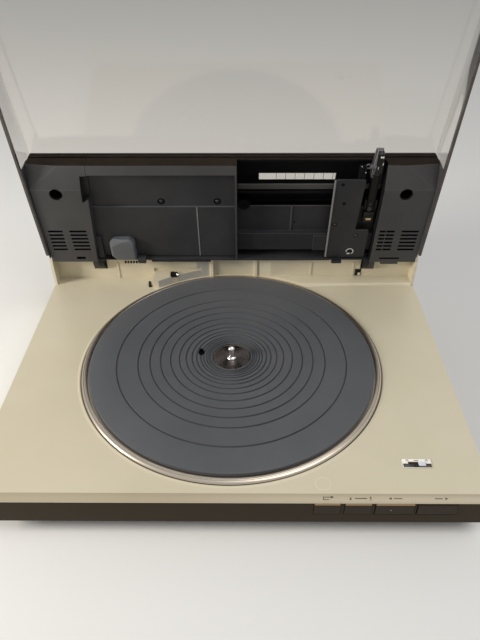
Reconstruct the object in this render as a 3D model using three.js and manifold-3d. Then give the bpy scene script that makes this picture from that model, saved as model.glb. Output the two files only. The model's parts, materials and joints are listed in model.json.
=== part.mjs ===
// A direct drive turntable whose tracking arm rides in the hinged clear lid, shown with the lid up.
// Millimetres, +X to the right, +Y to the back, +Z up. The origin is on the table, under the cabinet's middle.
import * as THREE from 'three';
import { ConvexGeometry } from 'three/addons/geometries/ConvexGeometry.js';
import { mergeVertices } from 'three/addons/utils/BufferGeometryUtils.js';
import Module from 'manifold-3d';

const wasm = await Module();
wasm.setup();

// Driving dimensions. A lift is a height above the deck, and a reach is a distance forward of the hinge axis.
const gap = 0.3;
const overrun = 4;
const rounds = { large: 60, broad: 48, medium: 32, small: 16, tiny: 10 };

// The cabinet follows the platter: a border of deck lies round the well. An inset is measured inwards from the
// cabinet's side.
const cabinet = {
  frontBorder: 10.7, sideBorder: 60.7, rearBorder: 30.7, deckTop: 52, deckThickness: 3, wall: 3,
  skirtBottom: 19.3, bevelDepth: 6, bevelDrop: 3.9, bevelLip: 0.8, frontWall: 2.5, shelfTop: 46,
  wellGap: 3.15, wellWall: 2.5, wellFloor: 36, wellFloorThickness: 2.5, bearingHole: 14,
};
const hinge = {
  inset: 30.3, lift: 25.8, openAngle: 80.82, pinRadius: 3, pinInset: 39, pinLength: 31, armInset: 48,
  armWidth: 13, barWidth: 6, knuckleRadius: 14, barHeight: 14, barReach: 44, notchSide: 1.5,
};
const ridge = { radius: 7.2, frontWall: 5.2, wall: 2.5, blockMargin: 5 };
const cheek = { thickness: 3, frontRadius: 22.7, backRadius: 16, rise: 16, coverGap: 0.5 };
const platform = { lift: 3, frontReach: 27.7, slope: 6, left: 44 };
const pad = { left: -96, right: -27, lift: 9.5, frontReach: 28.7 };
const wallRibs = {
  thin: 1.5, thinProud: 0.8, wide: 5.2, wideReach: 4.5, top: 22, leftInset: 75.4, rightInset: 71,
  thinPlaces: [42, 93], widePlaces: [-27, 27],
};

const fascia = { setBack: 0.8, thickness: 2.5 };
const buttons = {
  travel: 1.2, clearance: 0.4, flange: 1, flangeThickness: 1.8, stem: 6, stemHeight: 5, topLift: -6.3,
  bottomLift: -20.5, chamfer: 1.2,
};
const buttonInsets = {
  repeat_button: { left: 145, right: 124 }, cueing_button: { left: 120, right: 98.5 },
  start_button: { left: 95, right: 63.5 }, stop_button: { left: 60.7, right: 29 },
};
const buttonBoard = { thickness: 1.6, switchSize: 6, switchDepth: 4.9, margin: 6, top: 46 };
const selector = {
  inset: 55.6, fromFront: 36, length: 25, width: 9.3, proud: 0.4, depth: 5, recess: 0.8, rim: 1.2,
  slotLength: 15, slotWidth: 3, knobLength: 6, knobWidth: 5, knobRise: 1, stem: 2.4, knobOffset: 4.2,
  bodyDepth: 8, bodyMargin: 2,
};

const pan = {
  inset: 8, frontInset: 11, backInset: 7, bottom: 13.5, floor: 2.5, wall: 2.5, wallTop: 26, postRadius: 5,
  postInset: 25, postFrontInset: 25, postBackInset: 20, slotLength: 34, slotWidth: 3, slotPitch: 7,
  slotCount: 7,
};
const foot = {
  inset: 47, frontInset: 36, backInset: 36, topRadius: 22, soleRadius: 18.5, soleEdge: 1.5, soleHeight: 4,
  waistRadius: 20,
};

const platter = {
  radius: 151.15, rimLift: 2.2, rimWidth: 5.95, rimChamfer: 1.6, rimBottom: 40, rimWall: 4.5,
  plateThickness: 3, hubRadius: 15, hubBottom: 44.5, ribHeight: 4.6, ribThickness: 2.6, ribCount: 12,
  ribGap: 2,
};
const mat = {
  edgeGap: 0.6, topLift: 4.8, grooveWidth: 1.6, grooveDepth: 0.7, lipDrop: 0.8, lipWidth: 3,
  fingerHole: 3, fingerX: -31.2, fingerY: 6.3,
};
const matGrooveShares = [0.809, 0.661, 0.577, 0.503, 0.432, 0.37, 0.322, 0.28];
const hub = { radius: 19, thickness: 2 };
const spindle = { radius: 3.6, topLift: 12.8, bottom: 20.3, shaftGap: 0.3, collarRadius: 6.4 };
const rotor = { outer: 62, inner: 30, thickness: 5.2 };
const bearing = { sleeve: 11, flange: 24, flangeThickness: 2.4, bottom: 18, top: 42.6 };
const stator = {
  inner: 26, outer: 74, thickness: 1.6, coilCount: 6, coilRing: 45, coilOuter: 13, coilInner: 5,
  coilHeight: 3,
};
const transformer = {
  inset: 39, fromBack: 90, length: 50, width: 40, height: 26, coilLength: 30, coilWidth: 48,
  coilHeight: 20,
};
const board = {
  inset: 105, right: 60, fromFront: 37, width: 78, thickness: 1.6, standoff: 4, standoffRadius: 3,
  partHeight: 9, capRadius: 5,
};
const glands = { wall: 1.6, flangeThickness: 1.5, flange: 2, height: 32 };
const glandInsets = { mains_gland: { inset: 55, radius: 6 }, audio_gland: { inset: 95, radius: 5 } };
const switchPin = { besidePad: 4, fromHinge: 25.7, width: 3, depth: 4, lift: 7, length: 14 };
const sizeSensor = { alongPad: 25, reach: 15.5, width: 10, depth: 3.6, lift: 12, drop: 6 };
const wallClip = { inset: 64.6, width: 7, height: 9.2, proud: 0.6, depth: 2.6, prong: 2, floorLift: 3.4 };

const cover = {
  wall: 3, panel: 3, rimLift: 0.5, panelLift: 44.8, slope: 0.0796, edgeRadius: 3, backInset: 1,
};
// The pods beside the platter come closer to the deck than the frame between them, which clears a record.
const housing = {
  sideGap: 1, frontReach: 136.7, faceReach: 111.2, backReach: 8.5, podLift: 3.5, recordRoom: 2.4,
  frontLift: 9.5, backChamfer: 3.1, backRise: 3.4, wall: 2.5, leftPodInset: 64, leftPodTurn: 7.5,
  rightPodInset: 57, recessReach: 126.3, recessLift: 18.1, floor: 2, armFrontLift: 20.6, topPlate: 2,
  padNotchLift: 9.8, ledge: 2.8, ledgeHeight: 4.2,
};
const facet = { inset: 30, frontLift: 17, ridgeLift: 8.2 };
const pods = {
  ventRows: 6, ventPitch: 5.2, ventHeight: 2.2, holeRadius: 7, holeDepth: 4, holeReach: 105.6,
  bottomSlotHeight: 2, bottomSlotReach: 17.2, ventBackReach: 29.5,
};
const podInsets = {
  left: { hole: 30.4, vents: [[26, 10], [52.6, 33.7]], slot: [44, 33.7] },
  right: { hole: 33.4, vents: [[52.6, 36], [28.3, 9.6]], slot: [46.4, 23.4] },
};
const compartment = {
  left: 5, railReach: 103.7, railWidth: 6, railLift: 20.5, railThickness: 2, rodReach: 94.7, rodRadius: 2,
  rodLift: 24.5, panelReach: 78.7, stepReach: 44.9, panelEnd: 21.1, panelLift: 20.5, lowerLift: 14.5,
  panelThickness: 2, finX: 65, finThickness: 1.4, finProud: 0.8, blockInset: 108, blockWidth: 15.5,
  blockReach: 42.4, blockProud: 1.6,
};
const coverPlate = {
  frontLift: 15.8, backLift: 13.8, stepReach: 84.7, seamX: -39, seamWidth: 0.8, seamDepth: 0.6,
  screwReach: 86.2, screwRadius: 3.2, screwDepth: 1, screwPlaces: [-77, -16],
};
const sensorCover = {
  inset: 74, width: 28.5, frontReach: 41.7, lift: 5.5, rounding: 5, bevel: 2.4, facetAlong: 19, facetDown: 10,
  facetDepth: 4,
};
const scaleWindow = { inset: 104.1, length: 82.5, frontReach: 112.2, width: 8.8, thickness: 1.2 };

// The carriage's places are measured to the left of the arm that it carries.
const carriage = {
  plateWidth: 44.1, topShort: 12.9, waistShort: 15.6, beyondArm: 3, topReach: 119, waistReach: 53.2,
  bottomReach: 13, plateLift: 10.5, plateThickness: 2, holeRadius: 1.8, cornerRadius: 1.5,
};
const plateHoles = { upper: { fromLeft: 7.5, reach: 113 }, lower: { fromLeft: 11.8, reach: 89.1 } };
const slider = {
  fromArm: 13, width: 24, frontReach: 100.2, backReach: 79.4, top: 27.4, bracketBeyond: 8,
  bracketReach: 92.2, bracketLift: 22, bracketThickness: 3, clampFromArm: 21, clampWidth: 8,
  clampThickness: 1.5,
};
const arm = {
  inset: 66, pivotReach: 85.7, pivotLift: 15.5, hubWidth: 8.8, beamWidth: 6.4, lift: 13.2, height: 4.4,
  frontReach: 122.7, hubFront: 94.7, hubBack: 76.7, stubWidth: 4, stubHeight: 2.4, stubBack: 61.7,
  pinRadius: 1.2,
};
const gimbal = {
  width: 13, plate: 1.7, ear: 1.5, frontReach: 91.7, backReach: 79.7, stubRadius: 2.5, earBottom: 12.9,
  topLift: 21.7,
};
const counterweight = { width: 11, frontReach: 74.7, backReach: 60.7, bottom: 13.2, top: 18.8, edge: 1.2 };
const headshell = {
  backReach: 120.7, tipReach: 150.7, shoulderReach: 131.7, width: 12, tipWidth: 7.6, lift: 17.9,
  thickness: 2.2,
};
const cartridge = {
  width: 9.4, backReach: 122.5, frontReach: 147.3, bottom: 11.9, noseDrop: 2.6, noseLength: 7,
};
const stylus = {
  width: 5.6, backReach: 135.7, frontReach: 148.8, thickness: 1.5, tipReach: 147.8, tipDrop: 1.2,
  tipSize: 0.9,
};
const fixingScrew = { radius: 2.6, reach: 132, lift: 15, length: 3.6 };
const pulleys = {
  radius: 4.5, height: 2.8, lift: 28, driveInset: 7.4, idlerInset: 8.5, reach: 85.7, flange: 0.8,
  axleRadius: 1.2,
};
const belt = { thickness: 0.8, height: 2 };
const motor = { radius: 6.6, bottom: 13.2, top: 26.6 };

const finishes = {
  champagne: { color: 0xcdc6ab, roughness: 0.42, metalness: 0.35 },
  bronze: { color: 0x423a2e, roughness: 0.4, metalness: 0.4 },
  buttonBronze: { color: 0x544a39, roughness: 0.38, metalness: 0.4 },
  blackPlastic: { color: 0x2b2d2f, roughness: 0.55, metalness: 0 },
  greyPlastic: { color: 0x55595a, roughness: 0.5, metalness: 0 },
  darkGrey: { color: 0x3b3d3e, roughness: 0.5, metalness: 0 },
  rubber: { color: 0x4b4f53, roughness: 0.85, metalness: 0 },
  soleRubber: { color: 0x1c1c1c, roughness: 0.9, metalness: 0 },
  castAluminium: { color: 0xc8c8c6, roughness: 0.3, metalness: 0.9 },
  polishedMetal: { color: 0x6d6d70, roughness: 0.18, metalness: 1 },
  steel: { color: 0xb4b6b8, roughness: 0.25, metalness: 1 },
  magnet: { color: 0x3a3a3c, roughness: 0.6, metalness: 0.3 },
  copper: { color: 0xa5673a, roughness: 0.4, metalness: 0.8 },
  circuitBoard: { color: 0x7a5a2c, roughness: 0.6, metalness: 0 },
  clearAcrylic: { color: 0xd6d8d6, roughness: 0.05, metalness: 0, transparent: true, opacity: 0.28 },
  whitePlastic: { color: 0xdcd8e4, roughness: 0.4, metalness: 0 },
};

// Places that several pieces share.
const wellRadius = platter.radius + cabinet.wellGap;
const side = wellRadius + cabinet.sideBorder;
const depth = cabinet.frontBorder + 2 * wellRadius + cabinet.rearBorder;
const front = -depth / 2;
const back = depth / 2;
const deck = cabinet.deckTop;
const deckUnder = deck - cabinet.deckThickness;
const hingeY = back - hinge.inset;
const hingeZ = deck + hinge.lift;
const platterY = front + cabinet.frontBorder + wellRadius;
const rimInner = platter.radius - platter.rimWidth;
const matRadius = rimInner - mat.edgeGap;
const ridgeFront = hingeY - ridge.radius;
const ridgeBack = hingeY + ridge.radius;
const fasciaFront = front + fascia.setBack;
const fasciaBack = fasciaFront + fascia.thickness;
const cabinetFront = fasciaBack + gap;
const fasciaTop = deck - cabinet.bevelDrop - cabinet.bevelLip - gap;
const panTop = pan.bottom + pan.floor;
const inward = (inset) => side - inset;
const reach = (distance) => hingeY - distance;
const lift = (height) => deck + height;
const liftPair = (low, high) => [lift(low), lift(high)];
const around = (middle, size) => [middle - size / 2, middle + size / 2];
const panelUnder = (y) => lift(cover.panelLift) + cover.slope * (y - hingeY);
const selectorX = inward(selector.inset);
const selectorY = front + selector.fromFront;
const knobX = selectorX + selector.knobOffset;
const switchPinX = pad.left - switchPin.besidePad;
const sensorX = pad.left + sizeSensor.alongPad;
const clipX = inward(wallClip.inset);
const boardLeft = -inward(board.inset);
const boardFront = front + board.fromFront;
const armX = inward(arm.inset);
const podX = inward(housing.rightPodInset);
const driveX = compartment.left + pulleys.driveInset;
const idlerX = podX - pulleys.idlerInset;
const lidSide = side - cover.wall;
const lidEnd = hingeY - cheek.frontRadius - cheek.coverGap;
const housingSide = lidSide - housing.sideGap;
const housingFront = reach(housing.frontReach);
const housingBack = reach(housing.backReach);
const housingTop = (y) => panelUnder(y) - 2 * gap - housing.topPlate;
const buttonPlaces = Object.fromEntries(Object.entries(buttonInsets).map(
  ([name, insets]) => [name, [inward(insets.left), inward(insets.right)]]));

// A closed geometry becomes a solid that can be joined and cut.
function solidFrom(geometry) {
  const loose = geometry.index ? geometry.toNonIndexed() : geometry;
  loose.deleteAttribute('normal');
  loose.deleteAttribute('uv');
  const merged = mergeVertices(loose);
  const corners = merged.index.array;
  const triVerts = [];
  for (let i = 0; i < corners.length; i += 3) {
    const [a, b, c] = corners.slice(i, i + 3);
    if (a !== b && b !== c && c !== a) triVerts.push(a, b, c);
  }
  const vertProperties = merged.attributes.position.array;
  return new wasm.Manifold(new wasm.Mesh({ numProp: 3, vertProperties,
    triVerts: new Uint32Array(triVerts) }));
}

function geometryFrom(solid) {
  const { vertProperties, triVerts } = solid.getMesh();
  const geometry = new THREE.BufferGeometry();
  geometry.setAttribute('position', new THREE.BufferAttribute(new Float32Array(vertProperties), 3));
  geometry.setIndex(new THREE.BufferAttribute(new Uint32Array(triVerts), 1));
  geometry.computeVertexNormals();
  return geometry;
}

function block(...ranges) {
  const size = ranges.map(([low, high]) => high - low);
  const middle = ranges.map(([low, high]) => (low + high) / 2);
  return solidFrom(new THREE.BoxGeometry(...size).translate(...middle));
}

function post(radius, [x, y], [low, high], sides = rounds.small) {
  const geometry = new THREE.CylinderGeometry(radius, radius, high - low, sides);
  return solidFrom(geometry.rotateX(Math.PI / 2).translate(x, y, (low + high) / 2));
}

function crossRod(radius, [y, z], [left, right], sides = rounds.small) {
  const geometry = new THREE.CylinderGeometry(radius, radius, right - left, sides);
  return solidFrom(geometry.rotateZ(Math.PI / 2).translate((left + right) / 2, y, z));
}

function deepRod(radius, [x, z], [near, far], sides = rounds.small) {
  const geometry = new THREE.CylinderGeometry(radius, radius, far - near, sides);
  return solidFrom(geometry.translate(x, (near + far) / 2, z));
}

function revolve(profile, [x, y], sides = rounds.medium) {
  const closed = [...profile, profile[0]].map(([radius, height]) => new THREE.Vector2(radius, height));
  return solidFrom(new THREE.LatheGeometry(closed, sides).rotateX(Math.PI / 2).translate(x, y, 0));
}

function outlineShape(outline) {
  return outline instanceof THREE.Shape ? outline
    : new THREE.Shape(outline.map(([u, v]) => new THREE.Vector2(u, v)));
}

// An upright extrusion of an outline in X and Y.
function column(outline, [low, high], curveSegments = rounds.tiny) {
  const geometry = new THREE.ExtrudeGeometry(outlineShape(outline), { depth: high - low, bevelEnabled: false,
    curveSegments });
  return solidFrom(geometry.translate(0, 0, low));
}

// An extrusion along X of a side profile in Y and Z.
function beam(profile, [left, right], curveSegments = rounds.tiny) {
  const depth = right - left;
  const geometry = new THREE.ExtrudeGeometry(outlineShape(profile),
    { depth, bevelEnabled: false, curveSegments });
  const sideways = new THREE.Matrix4().makeBasis(
    new THREE.Vector3(0, 1, 0), new THREE.Vector3(0, 0, 1), new THREE.Vector3(1, 0, 0));
  return solidFrom(geometry.applyMatrix4(sideways).translate(left, 0, 0));
}

function joined(solids) {
  return solids.reduce((whole, solid) => whole.add(solid));
}

function cutBy(solid, cutters) {
  return cutters.reduce((left, cutter) => left.subtract(cutter), solid);
}

function addPiece(group, name, solid, finish) {
  const mesh = new THREE.Mesh(geometryFrom(solid), new THREE.MeshStandardMaterial(finishes[finish]));
  mesh.name = name;
  group.add(mesh);
  return mesh;
}

// Cabinet: the deck, its well, the rear ridge that holds the hinge, and the two cheeks beside the lid.
function cabinetShell() {
  const lipBottom = deck - cabinet.bevelDrop - cabinet.bevelLip;
  const outer = beam([
    [cabinetFront, cabinet.skirtBottom], [cabinetFront, lipBottom], [front, lipBottom],
    [front, deck - cabinet.bevelDrop],
    [front + cabinet.bevelDepth, deck], [ridgeBack, deck], [ridgeBack, cabinet.shelfTop],
    [back, cabinet.shelfTop],
    [back, cabinet.skirtBottom],
  ], [-side, side]);
  const innerFront = cabinetFront + cabinet.frontWall;
  const innerBack = ridgeBack - ridge.wall;
  const shelfUnder = cabinet.shelfTop - cabinet.deckThickness;
  const inner = beam([
    [innerFront, cabinet.skirtBottom - overrun], [innerFront, deckUnder], [innerBack, deckUnder],
    [innerBack, shelfUnder], [back - cabinet.wall, shelfUnder],
    [back - cabinet.wall, cabinet.skirtBottom - overrun],
  ], [-side + cabinet.wall, side - cabinet.wall]);
  return outer.subtract(inner);
}

function wellWalls() {
  const floorUnder = cabinet.wellFloor - cabinet.wellFloorThickness;
  const outerRadius = wellRadius + cabinet.wellWall;
  return post(outerRadius, [0, platterY], [floorUnder, deckUnder + cabinet.deckThickness / 2], rounds.large);
}

function ridgeSolid() {
  const profile = new THREE.Shape();
  profile.moveTo(ridgeFront, deckUnder);
  profile.lineTo(ridgeFront, hingeZ);
  profile.absarc(hingeY, hingeZ, ridge.radius, Math.PI, 0, true);
  profile.lineTo(ridgeBack, cabinet.shelfTop - cabinet.deckThickness);
  profile.lineTo(ridgeBack - ridge.wall, cabinet.shelfTop - cabinet.deckThickness);
  profile.lineTo(ridgeBack - ridge.wall, deckUnder);
  const inside = side - cheek.thickness;
  return beam(profile, [-inside - cheek.thickness / 2, inside + cheek.thickness / 2]);
}

// The ridge is hollow from below, apart from the blocks that hold the hinge pins.
function ridgeHollows() {
  const ridgeDepth = [ridgeFront + ridge.frontWall, ridgeBack - ridge.wall];
  const height = [deckUnder - overrun, hingeZ];
  const keep = post(wellRadius + cabinet.wellWall, [0, platterY], [height[0] - overrun, hingeZ + overrun],
    rounds.large);
  const [blockLeft, blockRight] = pinSpan(1);
  const [inner, outer] = [blockLeft - ridge.blockMargin, blockRight + ridge.blockMargin];
  const spans = [[-inner, inner], [outer, side - cabinet.wall], [cabinet.wall - side, -outer]];
  return spans.map((span) => block(span, ridgeDepth, height).subtract(keep));
}

function cheekSolid(sign) {
  const top = hingeZ + cheek.rise;
  const turn = Math.PI - Math.asin(cheek.rise / cheek.frontRadius);
  const profile = new THREE.Shape();
  profile.moveTo(hingeY - cheek.frontRadius, deckUnder);
  profile.lineTo(hingeY - cheek.frontRadius, hingeZ);
  profile.absarc(hingeY, hingeZ, cheek.frontRadius, Math.PI, turn, true);
  profile.lineTo(hingeY, top);
  profile.absarc(hingeY, hingeZ, cheek.backRadius, Math.PI / 2, 0, true);
  profile.lineTo(hingeY + cheek.backRadius, cabinet.shelfTop - cabinet.deckThickness);
  profile.lineTo(ridgeBack, cabinet.shelfTop - cabinet.deckThickness);
  profile.lineTo(ridgeBack, deckUnder);
  return beam(profile, sign > 0 ? [side - cheek.thickness, side] : [-side, cheek.thickness - side]);
}

function rearPlatform() {
  const start = reach(platform.frontReach);
  const low = deckUnder + cabinet.deckThickness / 2;
  const profile = [
    [start, low], [start, deck], [start + platform.slope, lift(platform.lift)],
    [ridgeFront + ridge.wall / 2, lift(platform.lift)], [ridgeFront + ridge.wall / 2, low],
  ];
  const coverRoom = block([lidSide - gap, side], [start - overrun, lidEnd + gap],
    [deck, lift(platform.lift) + overrun]);
  return beam(profile, [platform.left, side - cheek.thickness / 2]).subtract(coverRoom);
}

function rearPad() {
  const y = [reach(pad.frontReach), ridgeFront + ridge.wall / 2];
  return block([pad.left, pad.right], y, [deckUnder + cabinet.deckThickness / 2, lift(pad.lift)]);
}

function rearWallRibs() {
  const thinPlaces = [-inward(wallRibs.leftInset), ...wallRibs.thinPlaces, inward(wallRibs.rightInset)];
  const thin = thinPlaces.map((x) => block(
    around(x, wallRibs.thin), [ridgeFront - wallRibs.thinProud, ridgeFront + ridge.frontWall],
    [deck - cabinet.deckThickness / 2, lift(wallRibs.top)]));
  const wide = wallRibs.widePlaces.map((x) => block(
    around(x, wallRibs.wide), [reach(wallRibs.wideReach), hingeY], [deck, lift(wallRibs.top)]));
  return [...thin, ...wide];
}

// The span in X of something that ends at an inset from the right side, or its mirror image at the left.
function insetSpan(sign, inset, width, margin = 0) {
  const [low, high] = [inward(inset) - width - margin, inward(inset) + margin];
  return sign > 0 ? [low, high] : [-high, -low];
}

function hingeNotch(sign) {
  const span = insetSpan(sign, hinge.armInset, hinge.armWidth, hinge.notchSide);
  const radius = hinge.knuckleRadius + 2 * gap;
  const above = block(span, around(hingeY, 2 * radius), [hingeZ, hingeZ + radius]);
  return crossRod(radius, [hingeY, hingeZ], span, rounds.medium).add(above);
}

function pinSpan(sign) {
  return insetSpan(sign, hinge.pinInset, hinge.pinLength);
}

function pinBore(sign) {
  const [left, right] = pinSpan(sign);
  return crossRod(hinge.pinRadius + gap, [hingeY, hingeZ], [left - gap, right + gap]);
}

function buttonWindowInCabinet() {
  const places = Object.values(buttonPlaces).flat();
  const reachOut = buttons.flange + buttons.clearance;
  return block([Math.min(...places) - reachOut, Math.max(...places) + reachOut],
    [cabinetFront - gap, cabinetFront + cabinet.frontWall + overrun],
    [lift(buttons.bottomLift) - reachOut, fasciaTop]);
}

function selectorHole() {
  return block(around(selectorX, selector.length + 2 * gap), around(selectorY, selector.width + 2 * gap),
    [deckUnder - overrun, deck + overrun]);
}

function switchPinHole() {
  return block(around(switchPinX, switchPin.width + 2 * gap),
    around(reach(switchPin.fromHinge), switchPin.depth + 2 * gap),
    [deckUnder - overrun, deck + overrun]);
}

function sensorPocket() {
  return block(around(sensorX, sizeSensor.width + 2 * gap), [reach(sizeSensor.reach) - overrun,
    reach(sizeSensor.reach) + sizeSensor.depth + gap],
    [lift(sizeSensor.drop) - gap, lift(sizeSensor.lift) + overrun]);
}

function clipPocket() {
  const low = lift(wallClip.floorLift) - gap;
  return block(around(clipX, wallClip.width + 2 * gap),
    [ridgeFront - overrun, ridgeFront + wallClip.depth - wallClip.proud + gap],
    [low, low + wallClip.height + 2 * gap]);
}

function cabinetSolid() {
  const well = post(wellRadius, [0, platterY], [cabinet.wellFloor, hingeZ + overrun], rounds.large);
  const body = joined([cabinetShell(), wellWalls(), ridgeSolid(), rearPlatform(), rearPad()]);
  const hollowed = cutBy(body, [...ridgeHollows(), well]);
  const dressed = joined([hollowed, cheekSolid(1), cheekSolid(-1), ...rearWallRibs()]);
  const glandHoles = Object.values(glandInsets).map(({ inset, radius }) => deepRod(
    radius + gap, [-inward(inset), glands.height], [back - cabinet.wall - overrun, back + overrun]));
  return cutBy(dressed, [
    post(cabinet.bearingHole, [0, platterY], [cabinet.wellFloor - overrun, cabinet.wellFloor + overrun],
    rounds.medium),
    hingeNotch(1), hingeNotch(-1), pinBore(1), pinBore(-1), buttonWindowInCabinet(), selectorHole(),
    switchPinHole(),
    sensorPocket(), clipPocket(), ...glandHoles,
  ]);
}

// Bottom pan, with vent slots, posts up to the deck and a foot under each corner.
function panPosts() {
  const backY = back - pan.postBackInset;
  const frontY = front + pan.postFrontInset;
  const posts = [];
  for (const x of [-inward(pan.postInset), inward(pan.postInset)]) {
    posts.push(post(pan.postRadius, [x, frontY], [panTop - pan.floor / 2, deckUnder - gap]));
    posts.push(post(pan.postRadius, [x, platterY], [panTop - pan.floor / 2, deckUnder - gap]));
    posts.push(post(pan.postRadius, [x, backY],
      [panTop - pan.floor / 2, cabinet.shelfTop - cabinet.deckThickness - gap]));
  }
  return posts;
}

const transformerX = -inward(transformer.inset);
const transformerY = back - transformer.fromBack;

function panSolid() {
  const x = side - pan.inset;
  const y = [front + pan.frontInset, back - pan.backInset];
  const tray = block([-x, x], y, [pan.bottom, pan.wallTop]);
  const hollow = block([pan.wall - x, x - pan.wall], [y[0] + pan.wall, y[1] - pan.wall],
    [panTop, pan.wallTop + overrun]);
  const slots = [];
  for (let i = 0; i < pan.slotCount; i += 1) {
    const along = transformerX + (i - (pan.slotCount - 1) / 2) * pan.slotPitch;
    slots.push(block(around(along, pan.slotWidth), around(transformerY, pan.slotLength),
      [pan.bottom - overrun, panTop + overrun]));
  }
  return cutBy(joined([tray.subtract(hollow), ...panPosts()]), slots);
}

function footSolid([x, y]) {
  const top = pan.bottom - gap;
  return revolve([
    [0, 0], [foot.soleRadius, 0], [foot.soleRadius + foot.soleEdge, foot.soleEdge],
    [foot.soleRadius + foot.soleEdge, foot.soleHeight],
    [foot.waistRadius, foot.soleHeight], [foot.topRadius, top], [0, top],
  ], [x, y], rounds.small);
}

// Front strip with a window for each button.
function fasciaSolid() {
  const strip = block([-side, side], [fasciaFront, fasciaBack], [cabinet.skirtBottom, fasciaTop]);
  const windows = Object.values(buttonPlaces).map(([left, right]) => block(
    [left - buttons.clearance, right + buttons.clearance], [fasciaFront - overrun, fasciaBack + overrun],
    [lift(buttons.bottomLift) - buttons.clearance, lift(buttons.topLift) + buttons.clearance]));
  return cutBy(strip, windows);
}

function buttonSolid([left, right]) {
  const [low, high] = liftPair(buttons.bottomLift, buttons.topLift);
  const capBack = fasciaBack + gap;
  const cap = beam([
    [front + buttons.chamfer, high], [front, high - buttons.chamfer], [front, low + buttons.chamfer],
    [front + buttons.chamfer, low], [capBack, low], [capBack, high],
  ], [left, right]);
  const flange = block([left - buttons.flange, right + buttons.flange],
    [capBack, capBack + buttons.flangeThickness],
    [low - buttons.flange, high + buttons.flange]);
  const stem = block(around((left + right) / 2, buttons.stem), [capBack, stemEnd()],
    around((low + high) / 2, buttons.stemHeight));
  return joined([cap, flange, stem]);
}

function stemEnd() {
  return cabinetFront + cabinet.frontWall + buttons.stem / 2;
}

function buttonBoardSolid() {
  const places = Object.values(buttonPlaces);
  const switchFront = stemEnd() + buttons.travel + gap;
  const sheetFront = switchFront + buttonBoard.switchDepth;
  const span = [Math.min(...places.flat()) - buttonBoard.margin,
    Math.max(...places.flat()) + buttonBoard.margin];
  const sheet = block(span, [sheetFront, sheetFront + buttonBoard.thickness],
    [panTop + gap, buttonBoard.top]);
  const middle = (lift(buttons.bottomLift) + lift(buttons.topLift)) / 2;
  const switches = places.map(([left, right]) => block(around((left + right) / 2, buttonBoard.switchSize),
    [switchFront, sheetFront + buttonBoard.thickness / 2], around(middle, buttonBoard.switchSize)));
  return joined([sheet, ...switches]);
}

// Speed selector: a framed plate let into the deck, a sliding knob and the switch under them.
function selectorPlateSolid() {
  const top = lift(selector.proud);
  const plate = block(around(selectorX, selector.length), around(selectorY, selector.width),
    [lift(-selector.depth), top]);
  const recess = block(around(selectorX, selector.length - 2 * selector.rim),
    around(selectorY, selector.width - 2 * selector.rim),
    [top - selector.recess, top + overrun]);
  const slot = block(around(selectorX, selector.slotLength), around(selectorY, selector.slotWidth),
    [lift(-selector.depth) - overrun, top + overrun]);
  return cutBy(plate, [recess, slot]);
}

function selectorKnobSolid() {
  const plateTop = lift(selector.proud) - selector.recess;
  const cap = block(around(knobX, selector.knobLength), around(selectorY, selector.knobWidth),
    [plateTop + gap, plateTop + gap + selector.knobRise]);
  const grooves = [-1, 1].map((sign) =>
    block(around(knobX + sign * selector.knobLength / 4, selector.knobRise / 2),
    around(selectorY, selector.knobWidth + overrun), [plateTop + gap + selector.knobRise / 2,
    plateTop + overrun]));
  const stem = block(around(knobX, selector.stem), around(selectorY, selector.stem),
    [lift(-selector.depth) + gap, plateTop + 2 * gap]);
  return joined([cutBy(cap, grooves), stem]);
}

function selectorSwitchSolid() {
  const top = lift(-selector.depth) - gap;
  return block(around(selectorX, selector.length - selector.bodyMargin),
    around(selectorY, selector.width - selector.bodyMargin),
    [top - selector.bodyDepth, top]);
}

// Small fittings at the back of the deck.
function switchPinSolid() {
  const top = lift(switchPin.lift);
  const y = reach(switchPin.fromHinge);
  const profile = new THREE.Shape();
  profile.moveTo(y - switchPin.depth / 2, top - switchPin.length);
  profile.lineTo(y + switchPin.depth / 2, top - switchPin.length);
  profile.lineTo(y + switchPin.depth / 2, top - switchPin.depth / 2);
  profile.absarc(y, top - switchPin.depth / 2, switchPin.depth / 2, 0, Math.PI, false);
  return beam(profile, around(switchPinX, switchPin.width), rounds.tiny);
}

function sizeSensorSolid() {
  const y = [reach(sizeSensor.reach), reach(sizeSensor.reach) + sizeSensor.depth];
  const z = liftPair(sizeSensor.drop, sizeSensor.lift);
  const half = sensorX;
  const body = block([half - sizeSensor.width / 2, half], y, z);
  const lensRadius = sizeSensor.depth / 2;
  const lensTop = post(lensRadius, [half + lensRadius, y[0] + lensRadius], [z[0], z[1] - gap], rounds.tiny);
  const web = block([half - gap, half + sizeSensor.width / 2], [y[0] + gap, y[1]],
    [z[0], z[0] + sizeSensor.depth]);
  return joined([body, lensTop, web]);
}

function wallClipSolid() {
  const low = lift(wallClip.floorLift);
  const y = [ridgeFront - wallClip.proud, ridgeFront - wallClip.proud + wallClip.depth];
  const [left, right] = around(clipX, wallClip.width);
  const spine = block([left, left + wallClip.prong], y, [low, low + wallClip.height]);
  const rise = (wallClip.height - wallClip.prong) / 2;
  const prongs = [0, 1, 2].map((i) =>
    block([left, right], y, [low + i * rise, low + i * rise + wallClip.prong]));
  return joined([spine, ...prongs]);
}

function glandSolid({ inset, radius }) {
  const x = -inward(inset);
  const inside = back - cabinet.wall;
  const collar = deepRod(radius, [x, glands.height], [inside - glands.flangeThickness - gap, back - gap]);
  const flange = deepRod(radius + glands.flange, [x, glands.height],
    [inside - glands.flangeThickness - gap, inside - gap]);
  const bore = deepRod(radius - glands.wall, [x, glands.height], [inside - overrun, back + overrun]);
  return joined([collar, flange]).subtract(bore);
}

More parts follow.
